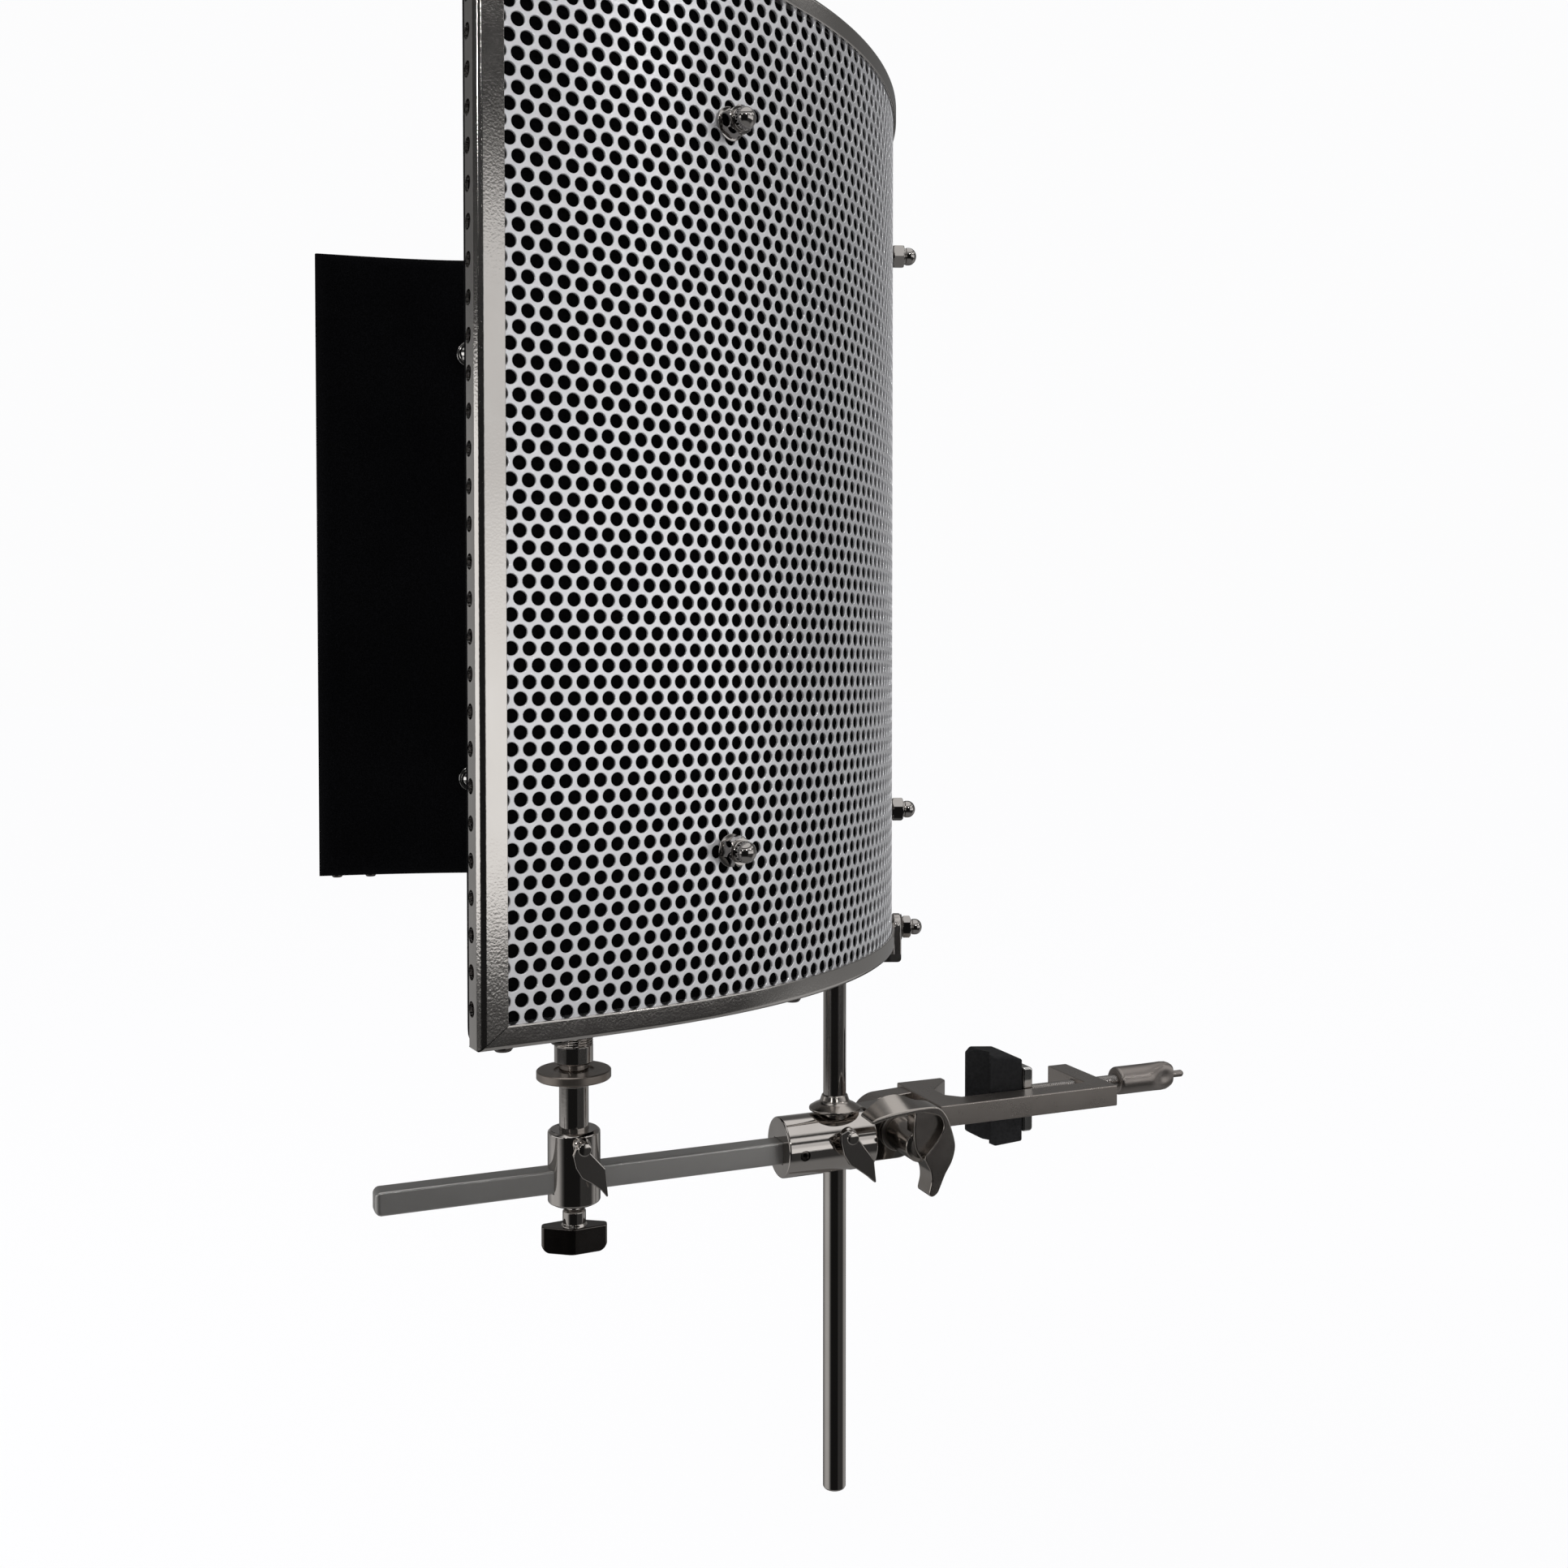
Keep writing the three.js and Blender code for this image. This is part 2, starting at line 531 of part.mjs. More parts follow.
// ---------- clamp frame and tilt knuckle ----------
// C-shaped frame, open at -X; its fixed jaw is a flat land between two 45-degree slopes
function clampFrame() {
  const innerX = FRAME_HALF - SIDE_ARM;
  const outline = [
    [-FRAME_HALF, FRAME_Y0], [FRAME_HALF, FRAME_Y0], [FRAME_HALF, FRAME_Y1],
    [-FRAME_HALF, FRAME_Y1], [-FRAME_HALF, FRAME_Y1 - REAR_ARM], [innerX, FRAME_Y1 - REAR_ARM],
    [innerX, LAND_Y + innerX - LAND_HALF], [LAND_HALF, LAND_Y], [-LAND_HALF, LAND_Y],
    [-LAND_HALF - (JAW_TIP_Y - LAND_Y), JAW_TIP_Y], [-FRAME_HALF, JAW_TIP_Y],
  ];
  return cut(
    join(
      prismZ(outline, FRAME_Z0, FRAME_Z1),
      // knuckle lug, on the -X side of the boss's tongue
      cylX(LUG_R, -17.4, -6.4, TILT_Y, TILT_Z, 28),
      box(-17.4, -6.4, TILT_Y, FRAME_Y0 + 1, -107, -87.2)),
    cylX(TILT_BOLT_R + 0.25, -30, 0, TILT_Y, TILT_Z, 16),
    cylY(SCREW_R + 0.25, FRAME_Y1 - REAR_ARM - 3, FRAME_Y1 + 3, 0, SCREW_Z, 16));
}
piece('clamp_frame', clampFrame(), 'satin');
piece('tilt_bolt', join(
  cylX(TILT_BOLT_R, -18, 27.4, TILT_Y, TILT_Z, 16),
  cylX(7.4, -22.6, -17.7, TILT_Y, TILT_Z, 6)), 'nickel');
piece('tilt_washer', cut(
  cylX(8.2, 6.4, 7.9, TILT_Y, TILT_Z),
  cylX(TILT_BOLT_R + 0.35, 5, 10, TILT_Y, TILT_Z, 16)), 'satin');

// tilt nut: a hub, a web and a broad crescent; outlines in (y, z) from the tilt axis
const CRESCENT = [
  // outer edge
  [-25, 15.6], [-18.2, 17.6], [-8.5, 18.6], [-1, 18.4], [5.6, 17.2], [9.5, 13.5], [11.9, 8.4],
  [13.6, 1.6], [13.8, -2.4], [12.3, -7.2], [9.2, -12.4], [6.9, -17], [5.4, -19.8], [3.0, -20.9],
  // inner edge
  [1.2, -19.4], [2.6, -14], [2.6, -9.6], [0.6, -5.6], [-0.6, -3.2], [3.2, 0.8], [6.4, 5],
  [7.6, 8.6], [6.9, 11.8], [3.4, 14], [-1.4, 15], [-8.5, 14.9], [-18.2, 13.9], [-24.8, 12.6],
];
const NUT_WEB = [
  [12.6, 2], [12.8, -1.8], [11.4, -6.8], [7.5, -10.4], [2.5, -9.6], [-3, -5.5],
  [-6.5, 2], [-7, 9], [-5.5, 16], [5, 16.2], [9, 12.8], [11, 8],
];
piece('tilt_wing_nut', cut(
  join(
    prismX(shifted(CRESCENT, TILT_Y, TILT_Z), 23.2, 34),
    prismX(shifted(NUT_WEB, TILT_Y, TILT_Z), 23.2, 26.4),
    cylX(7.2, 8.2, 29.5, TILT_Y, TILT_Z, 18)),
  cylX(TILT_BOLT_R + 0.35, 7, 28, TILT_Y, TILT_Z, 14)), 'nickel');

// ---------- moving jaw and screw ----------
// outlines in (y, z)
const PAD_OUTLINE = [
  [PAD_Y0, -109.4], [PAD_Y0 + 4, -111.4], [PAD_Y1, -110.6], [PAD_Y1, -73.4],
  [PAD_Y1 - 4, -71.6], [PAD_Y0 + 2.5, -70.6], [PAD_Y0, -73],
];
const PLATE_OUTLINE = [
  [PAD_Y1 + 0.25, -106.4], [PLATE_Y1, -106.4], [PLATE_Y1, -78.6],
  [PLATE_Y1 - 1.2, -77.2], [PAD_Y1 + 0.25, -77.2],
];
// shallow V in the pad's face towards the fixed jaw, in (x, y)
const PAD_GROOVE = [[-11.83, PAD_Y0 - 1], [11.83, PAD_Y0 - 1], [0, PAD_Y0 + 5.83]];
piece('jaw_pad', cut(prismX(PAD_OUTLINE, -13, 9.6), prismZ(PAD_GROOVE, -130, -50)), 'rubber');
// metal plate behind the pad, with a socket for the screw
piece('jaw_plate', join(
  prismX(PLATE_OUTLINE, -11, 9.4),
  cut(
    cylY(7, PLATE_Y1 - 1, PLATE_Y1 + 3.4, 0, SCREW_Z, 20),
    cylY(SCREW_R + 0.3, PLATE_Y1 + 0.4, PLATE_Y1 + 6, 0, SCREW_Z, 14))), 'satin');
piece('clamp_screw', cylY(SCREW_R, PLATE_Y1 + 0.8, 341.2, 0, SCREW_Z, 16), 'satin');

// turned handle, squeezed in X to a flat grip at its outer end
const BARREL_PROFILE = [
  [0, 339.6], [5.4, 339.6], [6.5, 341], [6.5, 360.4], [5.6, 366.4], [3.6, 370.6], [0, 372],
];
const GRIP_T = 3.4;
// half outline of the grip, (y, z from the screw axis)
const GRIP_HALF = [[372.6, 3.6], [371.6, 4.9], [370, 5.9], [368, 6.6], [356, 6.5]];
// what is squeezed away on the +X side, (x, y)
const PINCH = [[1.9, 356], [1.9, 374], [9, 374], [9, 363]];
function clampHandle() {
  const frame = move(0, 0, SCREW_Z).multiply(new THREE.Matrix4().makeRotationY(Math.PI / 2));
  const pinch = prismZ(PINCH, SCREW_Z - 10, SCREW_Z + 10);
  const lower = GRIP_HALF.map(([y, z]) => [y, -z]).reverse();
  const grip = shifted([...GRIP_HALF, ...lower], 0, SCREW_Z);
  return cut(
    join(
      cut(turned(BARREL_PROFILE, 18, frame), pinch, flipX(pinch)),
      prismX(grip, -GRIP_T / 2, GRIP_T / 2),
      cylY(1.5, 371, 378.6, 0, SCREW_Z, 12)),
    cylY(SCREW_R + 0.15, 335, 341.4, 0, SCREW_Z, 14));
}
piece('clamp_handle', clampHandle(), 'satin');

export default root;
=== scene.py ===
"""Microphone isolation shield: a curved perforated wall on a rod, with a bar, post and clamp.

Lengths are millimetres in the shield's own frame unless noted. The wall is symmetric about x = 0,
its wing ends stand near y = 0 and it bulges towards +y. z = 0 is its bottom edge, and the bar,
post and clamp hang below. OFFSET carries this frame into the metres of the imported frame.
"""
import json
import math

import bmesh
import bpy
import numpy as np
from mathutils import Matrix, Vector


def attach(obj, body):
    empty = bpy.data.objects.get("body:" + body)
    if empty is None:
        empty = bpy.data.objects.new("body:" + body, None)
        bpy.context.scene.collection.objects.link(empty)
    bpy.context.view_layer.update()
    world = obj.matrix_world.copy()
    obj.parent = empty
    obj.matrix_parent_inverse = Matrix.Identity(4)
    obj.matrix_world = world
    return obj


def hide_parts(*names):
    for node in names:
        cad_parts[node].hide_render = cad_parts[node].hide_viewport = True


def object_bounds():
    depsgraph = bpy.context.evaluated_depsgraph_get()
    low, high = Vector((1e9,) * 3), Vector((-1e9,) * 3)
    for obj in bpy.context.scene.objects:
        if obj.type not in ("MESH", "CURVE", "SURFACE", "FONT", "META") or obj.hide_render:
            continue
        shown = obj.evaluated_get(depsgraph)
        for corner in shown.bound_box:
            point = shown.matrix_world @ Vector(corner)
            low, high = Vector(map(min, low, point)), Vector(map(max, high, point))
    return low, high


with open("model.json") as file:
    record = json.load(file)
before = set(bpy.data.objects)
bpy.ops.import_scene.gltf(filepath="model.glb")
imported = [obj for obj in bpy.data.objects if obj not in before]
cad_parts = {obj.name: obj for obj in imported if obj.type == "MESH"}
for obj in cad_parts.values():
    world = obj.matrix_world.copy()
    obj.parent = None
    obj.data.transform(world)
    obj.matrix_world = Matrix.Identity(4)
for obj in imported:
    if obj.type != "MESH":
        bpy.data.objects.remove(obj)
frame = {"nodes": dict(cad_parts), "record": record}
CAD_BOX = [list(corner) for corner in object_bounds()]
SCENE = bpy.context.scene
OFFSET = np.array([0.0, -0.246, 0.091])  # metres
X, Y, Z = np.eye(3)

# ---------------------------------------------------------------- driving dimensions
HEIGHT = 310.0        # of the wall
HALF_WIDTH = 203.16   # of the outer face at the wing ends
FLARE = 7.94          # degrees the wing ends lean inward from +y
EASE = 77.5           # arc over which the bend grows from straight
SIDE_RADIUS = 180.0
BACK_RADIUS = 221.0
TURN, BLEND = 50.0, 12.0  # degrees of turning where the back radius starts, and its blend

BOLT_ARC = (79.0, 237.0)     # bolt columns, as arc from either wing end
BOLT_ROWS = (49.0, 261.0)

ROD_Y = 194.5
POST_Y = 77.8
BAR_Z = -104.0
TILT_Y, TILT_Z = 222.0, -100.0   # pivot between boss and clamp
LUG_R = 12.1                     # round ends of the two pivot lugs
SCREW_Z = -91.0                  # clamp screw axis, along y

CENTRE = (0, 0, 0)
ROD = (0, ROD_Y, 0)
POST = (0, POST_Y, 0)
TILT = (0, TILT_Y, TILT_Z)
SCREW = (0, 0, SCREW_Z)


# ---------------------------------------------------------------- plan curve of the outer face
def plan_curve():
    """Arc, x, y and outward normal along the outer face, from the +x wing end to the -x one."""
    step = 0.1
    turned = arc = x = y = 0.0
    rows = []
    while turned < math.radians(90 - FLARE):
        rows.append((arc, x, y, turned))
        side = min(arc / EASE, 1) / SIDE_RADIUS
        back = min(max((turned - math.radians(TURN)) / math.radians(BLEND), 0), 1)
        curvature = side * (1 - back) + back / BACK_RADIUS
        middle = turned + curvature * step / 2
        x += math.cos(middle) * step
        y += math.sin(middle) * step
        turned += curvature * step
        arc += step
    arc, x, y, turned = np.array(rows).T
    start = math.radians(90 + FLARE)
    cos, sin = math.cos(start), math.sin(start)
    heading = start + turned
    length = 2 * arc[-1]

    def both(half, sign):
        return np.concatenate([half, sign * half[::-1][1:]])

    arcs = np.concatenate([arc, (length - arc)[::-1][1:]])
    xs = both(HALF_WIDTH + x * cos - y * sin, -1)
    ys = both(x * sin + y * cos, 1)
    return arcs, xs, ys, both(np.sin(heading), -1), both(-np.cos(heading), 1), length


ARC, PLAN_X, PLAN_Y, OUT_X, OUT_Y, LENGTH = plan_curve()


def wall(arc, depth, height):
    """Wall points at an arc, a depth inward from the outer face and a height, as (n, 3)."""
    arc, depth, height = np.broadcast_arrays(
        np.asarray(arc, float), np.asarray(depth, float), np.asarray(height, float))
    on = np.clip(arc, 0, LENGTH)
    x, y = np.interp(on, ARC, PLAN_X), np.interp(on, ARC, PLAN_Y)
    nx, ny = np.interp(on, ARC, OUT_X), np.interp(on, ARC, OUT_Y)
    over = arc - on  # straight run past the ends
    return np.stack([x - nx * depth - ny * over, y - ny * depth + nx * over, height], -1)


def wall_frame(arc, depth, height):
    """A wall point, the direction back along the arc and the outward direction."""
    out = np.array([np.interp(arc, ARC, OUT_X), np.interp(arc, ARC, OUT_Y), 0.0])
    return wall(arc, depth, height).reshape(3), np.cross(out, Z), out


# ---------------------------------------------------------------- mesh helpers
def shade(mesh, angle):
    """Smooth shading, sharp at edges over the angle (degrees)."""
    mesh.polygons.foreach_set("use_smooth", np.ones(len(mesh.polygons), bool))
    mesh.set_sharp_from_angle(angle=math.radians(angle))


def add(name, verts, faces, angle=30, recalc=True):
    """Object from vertices in mm and faces, a list of tuples or an array of quads."""
    mesh = bpy.data.meshes.new(name)
    verts = np.asarray(verts, float) * 0.001 + OFFSET
    if isinstance(faces, np.ndarray):
        mesh.vertices.add(len(verts))
        mesh.vertices.foreach_set("co", verts.ravel())
        mesh.loops.add(faces.size)
        mesh.loops.foreach_set("vertex_index", faces.astype(np.int32).ravel())
        mesh.polygons.add(len(faces))
        starts = np.arange(0, faces.size, 4, dtype=np.int32)
        mesh.polygons.foreach_set("loop_start", starts)
        mesh.update(calc_edges=True)
        mesh.validate()
    else:
        mesh.from_pydata(verts.tolist(), [], faces)
    if recalc:
        bm = bmesh.new()
        bm.from_mesh(mesh)
        bmesh.ops.recalc_face_normals(bm, faces=bm.faces)
        bm.to_mesh(mesh)
        bm.free()
    shade(mesh, angle)
    mesh.update()
    obj = bpy.data.objects.new(name, mesh)
    SCENE.collection.objects.link(obj)
    return obj


def joined(parts):
    """Several (vertices, faces) parts as one."""
    verts, faces, base = [], [], 0
    for part_verts, part_faces in parts:
        verts.append(part_verts)
        faces += [tuple(i + base for i in face) for face in part_faces]
        base += len(part_verts)
    return np.concatenate(verts), faces


def placer(origin, a_axis, b_axis, h_axis):
    """Map from flat coordinates (a, b) and height h to points."""
    origin = np.asarray(origin, float)
    return lambda a, b, h: (
        origin + np.outer(a, a_axis) + np.outer(b, b_axis) + np.outer(h, h_axis))


IN_XY = placer(CENTRE, X, Y, Z)
IN_YZ = placer(CENTRE, Y, Z, X)


def around(axis, origin):
    """Placer whose height runs along the axis."""
    axis = axis / np.linalg.norm(axis)
    side = np.cross(Z if abs(axis[2]) < 0.9 else X, axis)
    side /= np.linalg.norm(side)
    return placer(origin, side, np.cross(axis, side), axis)


def circle_angles(count):
    return np.linspace(0, 2 * math.pi, count, endpoint=False)


def ring(place, radius, height, count):
    """Ring of points. The radius is a number or one value per point."""
    angles = circle_angles(count)
    return place(np.cos(angles) * radius, np.sin(angles) * radius, np.full(count, height))


def loft(rings, capped=True, closed=False):
    """Skin over equal-length rings, capped at both ends or closed into a loop."""
    size = len(rings[0])
    total = len(rings)
    faces = []
    for i in range(total if closed else total - 1):
        j = (i + 1) % total
        for k in range(size):
            l = (k + 1) % size
            faces.append((i * size + k, i * size + l, j * size + l, j * size + k))
    if capped and not closed:
        faces.append(tuple(reversed(range(size))))
        faces.append(tuple(range((total - 1) * size, total * size)))
    return np.concatenate(rings), faces


def corner(before, point, after, radius, seg, flattest):
    """Fillet points of a corner. It stays sharp if its half angle is over flattest (degrees)."""
    before, point, after = (np.array(p[:2], float) for p in (before, point, after))
    to_before, to_after = before - point, after - point
    length0, length1 = np.linalg.norm(to_before), np.linalg.norm(to_after)
    if radius <= 0 or length0 < 1e-6 or length1 < 1e-6:
        return [tuple(point)]
    to_before, to_after = to_before / length0, to_after / length1
    half = math.acos(float(np.clip(to_before @ to_after, -1, 1))) / 2
    if half > math.radians(flattest):
        return [tuple(point)]
    run = min(radius / math.tan(half), 0.48 * length0, 0.48 * length1)
    radius = run * math.tan(half)
    middle = to_before + to_after
    centre = point + middle / np.linalg.norm(middle) * (radius / math.sin(half))
    start = math.atan2(*(point + to_before * run - centre)[::-1])
    stop = math.atan2(*(point + to_after * run - centre)[::-1])
    sweep = (stop - start + math.pi) % (2 * math.pi) - math.pi
    angles = [start + sweep * k / seg for k in range(seg + 1)]
    return [(centre[0] + radius * math.cos(a), centre[1] + radius * math.sin(a))
            for a in angles]


def rounded(points, seg=4):
    """Closed polygon with filleted corners. points are (a, b, fillet radius)."""
    out = []
    for i, point in enumerate(points):
        after = points[(i + 1) % len(points)]
        out += corner(points[i - 1], point, after, point[2], seg, 88)
    return out


def fillet_profile(points, seg):
    """Open profile with filleted inner corners. points are (radius, height, fillet radius)."""
    out = [tuple(points[0][:2])]
    for before, point, after in zip(points, points[1:], points[2:]):
        out += corner(before, point, after, point[2], seg, 86)
    out.append(tuple(points[-1][:2]))
    return out


def lathe(points, axis, origin, count, seg=4):
    """Turned part from (radius, height, fillet) points.

    They run from axis to axis, or form a closed loop that never reaches the axis.
    """
    place = around(axis, origin)
    profile = fillet_profile(points, seg)
    solid = profile[0][0] < 1e-6
    rings = [ring(place, r, h, count) for r, h in profile if not solid or r > 1e-6]
    if not solid:
        return loft(rings, closed=True)
    verts, faces = loft(rings, capped=False)
    low, high = len(verts), len(verts) + 1
    last = (len(rings) - 1) * count
    verts = np.concatenate([verts, place([0], [0], [profile[0][1]]),
                            place([0], [0], [profile[-1][1]])])
    following = [(k, (k + 1) % count) for k in range(count)]
    faces += [(low, l, k) for k, l in following]
    faces += [(high, last + k, last + l) for k, l in following]
    return verts, faces


def inset(polygon, distance):
    """Counter-clockwise polygon moved inward, each vertex along its bisector."""
    def unit(v, least=1e-9):
        return v / np.maximum(np.linalg.norm(v, axis=1, keepdims=True), least)

    before = unit(polygon - np.roll(polygon, 1, 0))
    after = unit(np.roll(polygon, -1, 0) - polygon)
    normal = np.stack([-before[:, 1], before[:, 0]], 1)
    bisector = unit(normal + np.stack([-after[:, 1], after[:, 0]], 1))
    stretch = np.maximum((bisector * normal).sum(1, keepdims=True), 0.5)
    return polygon + bisector * (distance / stretch)


def ccw(polygon):
    p = np.array(polygon, float)
    area = np.sum(p[:, 0] * np.roll(p[:, 1], -1) - np.roll(p[:, 0], -1) * p[:, 1])
    return p if area > 0 else p[::-1]


def slab(outline, low, high, place, edge=0.5, seg=3):
    """Plate between two heights, with its rims rounded by edge."""
    outline = ccw(outline)
    rings = []
    for top in (False, True):
        for k in range(seg + 1):
            angle = (1 - k / seg if top else k / seg) * math.pi / 2
            shape = inset(outline, edge * (1 - math.sin(angle)))
            rise = edge * (1 - math.cos(angle))
            height = high - rise if top else low + rise
            rings.append(place(shape[:, 0], shape[:, 1], np.full(len(shape), height)))
    return loft(rings)


def smooth_outline(points, per=5):
    """Closed Catmull-Rom curve through the points."""
    p = np.array(points, float)
    n = len(p)
    out = []
    for i in range(n):
        p0, p1, p2, p3 = p[i - 1], p[i], p[(i + 1) % n], p[(i + 2) % n]
        square = 2 * p0 - 5 * p1 + 4 * p2 - p3
        cube = 3 * p1 - p0 - 3 * p2 + p3
        for k in range(per):
            t = k / per
            out.append(0.5 * ((2 * p1) + (p2 - p0) * t + square * t * t + cube * t ** 3))
    return np.array(out)


def thread(radius, depth, pitch, low, high, axis, origin, count):
    """Turned length with a helical V groove that fades out at both ends."""
    runout = 0.8
    place = around(axis, origin)
    angles = circle_angles(count)
    rings = []
    for h in np.linspace(low, high, int((high - low) / pitch * 8)):
        phase = (h / pitch - angles / (2 * math.pi)) % 1.0
        crest = np.clip((1 - np.abs(2 * phase - 1)) * 1.25 - 0.1, 0, 1)
        fade = min(1, (h - low) / runout, (high - h) / runout)
        groove = depth * (1 - crest) * max(fade, 0)
        end = depth * 0.9 if fade <= 0 else 0
        rings.append(ring(place, radius - groove - end, h, count))
    return loft(rings)


def hex_rings(flat, low, high, place):
    """Rings of a hexagonal prism with turned chamfers. flat is half its width across flats."""
    count = 96
    across = flat / np.cos((circle_angles(count) % (math.pi / 3)) - math.pi / 6)
    slope = math.tan(math.radians(60))
    cut = [(step, flat * 0.985 + step * slope) for step in (0, 0.12, 0.35)]
    unlimited = 99
    limits = [(low + step, limit) for step, limit in cut]
    limits += [(low + 0.5, unlimited), (high - 0.5, unlimited)]
    limits += [(high - step, limit) for step, limit in reversed(cut)]
    return [ring(place, np.minimum(across, limit), h, count) for h, limit in limits]


def wall_sweep(section, start, stop, steps=240):
    """Sweeps a closed (depth, height) section along the wall.

    start and stop are arcs, as a number or one value per section point.
    """
    depth, height = np.array(section, float).T
    return loft([wall(start + (stop - start) * (k / steps), depth, height)
                 for k in range(steps + 1)])


def bake_modifiers(obj, angle):
    bpy.context.view_layer.update()
    graph = bpy.context.evaluated_depsgraph_get()
    mesh = bpy.data.meshes.new_from_object(obj.evaluated_get(graph))
    obj.modifiers.clear()
    old = obj.data
    obj.data = mesh
    bpy.data.meshes.remove(old)
    shade(mesh, angle)


def boolean(obj, other, operation="DIFFERENCE"):
    """Applies the other object to obj and removes it."""
    modifier = obj.modifiers.new("b", "BOOLEAN")
    modifier.object = other
    modifier.operation = operation
    modifier.solver = "EXACT"
    bake_modifiers(obj, 30)
    bpy.data.objects.remove(other)


def drill(obj, axis, origin, radius, low, high, count=48):
    profile = [(0, low, 0), (radius, low, 0), (radius, high, 0), (0, high, 0)]
    boolean(obj, add("cut", *lathe(profile, axis, origin, count)))


def cut_box(obj, corners):
    """Cuts a box whose 8 corners vary fastest along its last axis."""
    faces = [(0, 1, 3, 2), (4, 6, 7, 5), (0, 4, 5, 1), (2, 3, 7, 6), (0, 2, 6, 4), (1, 5, 7, 3)]
    boolean(obj, add("cut", corners, faces))


def cut_bar_channel(obj, half, y0, y1):
    """Cuts a square channel for the bar, along y."""
    cut_box(obj, [(x, y, z) for x in (-half, half) for y in (y0, y1)
                  for z in (BAR_Z - half, BAR_Z + half)])


def weighted_normals(obj, weight):
    modifier = obj.modifiers.new("n", "WEIGHTED_NORMAL")
    modifier.keep_sharp = True
    modifier.weight = weight
    modifier.mode = "FACE_AREA"


# ---------------------------------------------------------------- shader helpers
class Graph:
    """Shader node tree. Most helpers add one node and return its output."""

    def __init__(self, tree):
        self.tree = tree
        tree.nodes.clear()

    def feed(self, socket, value):
        """Links an output to the socket, or sets a number or an RGB tuple."""
        if hasattr(value, "is_output"):
            self.tree.links.new(value, socket)
        else:
            socket.default_value = (*value, 1) if isinstance(value, tuple) else value

    def node(self, kind, **inputs):
        node = self.tree.nodes.new(kind)
        for name, value in inputs.items():
            self.feed(node.inputs[name], value)
        return node

    def math(self, operation, a, b=0.0):
        node = self.node("ShaderNodeMath")
        node.operation = operation
        self.feed(node.inputs[0], a)
        self.feed(node.inputs[1], b)
        return node.outputs[0]

    def mix(self, factor, a, b):
        node = self.node("ShaderNodeMix")
        node.data_type = "RGBA"
        for i, value in ((0, factor), (6, a), (7, b)):
            self.feed(node.inputs[i], value)
        return node.outputs[2]

    def remap(self, value, low, high, to_low=0.0, to_high=1.0, kind="LINEAR"):
        node = self.node("ShaderNodeMapRange")
        node.interpolation_type = kind
        for i, number in enumerate((value, low, high, to_low, to_high)):
            self.feed(node.inputs[i], number)
        return node.outputs[0]


class Surface(Graph):
    """Material with one Principled shader."""

    def __init__(self, name):
        self.material = bpy.data.materials.new(name)
        self.material.use_nodes = True
        super().__init__(self.material.node_tree)
        output = self.node("ShaderNodeOutputMaterial")
        self.shader = self.node("ShaderNodeBsdfPrincipled")
        self.feed(output.inputs[0], self.shader.outputs[0])

    def set(self, **inputs):
        for name, value in inputs.items():
            self.feed(self.shader.inputs[name.replace("_", " ")], value)

    def coords(self, scale=(1, 1, 1)):
        source = self.node("ShaderNodeTexCoord")
        mapping = self.node("ShaderNodeMapping", Vector=source.outputs["Object"])
        mapping.inputs["Scale"].default_value = scale
        return mapping.outputs[0]

    def noise(self, vector, scale, detail, rough):
        node = self.node("ShaderNodeTexNoise", Vector=vector, Scale=scale, Detail=detail,
                         Roughness=rough)
        return node.outputs["Fac"]

    def bump(self, height, strength, distance, normal=None):
        node = self.node("ShaderNodeBump", Height=height, Strength=strength, Distance=distance)
        if normal is not None:
            self.feed(node.inputs["Normal"], normal)
        return node.outputs[0]


def scaled(color, factors):
    return tuple(c * f for c, f in zip(color, factors))


def metal(name, color, rough, stretch=(1, 1, 1), grain=900.0, grain_bump=0.02, peel=0.0,
          peel_scale=420.0, wear=0.12, spread=0.06, dark=(0.8, 0.78, 0.76), metallic=1.0):
    """Plated metal: tone drift, fine grain, orange peel and slightly rubbed edges.

    dark scales the colour where it drifts darkest, spread varies the roughness, wear lightens
    the edges and stretch scales the grain's coordinates.
    """
    g = Surface(name)
    wide = g.coords()
    fine = g.coords(stretch)
    drift = g.noise(wide, scale=38.0, detail=4.0, rough=0.55)
    grains = g.noise(fine, scale=grain, detail=2.0, rough=0.6)
    smudge = g.noise(wide, scale=120.0, detail=5.0, rough=0.65)
    base = g.mix(g.remap(drift, low=0.3, high=0.7), scaled(color, dark), color)
    geometry = g.node("ShaderNodeNewGeometry")
    edge = g.remap(geometry.outputs["Pointiness"], low=0.52, high=0.62)
    rubbed = tuple(min(1, c * 1.45 + 0.05) for c in color)
    base = g.mix(g.math("MULTIPLY", edge, wear), base, rubbed)
    smudged = g.remap(smudge, low=0.25, high=0.8, to_low=rough - spread, to_high=rough + spread)
    roughness = g.math("ADD", smudged, g.math("MULTIPLY", grains, spread * 0.5))
    normal = g.bump(grains, strength=grain_bump, distance=0.0001)
    if peel:
        peeled = g.noise(wide, scale=peel_scale, detail=1.5, rough=0.4)
        normal = g.bump(peeled, strength=peel, distance=0.0006, normal=normal)
    g.set(Base_Color=base, Metallic=metallic, Roughness=roughness, Normal=normal)
    return g.material


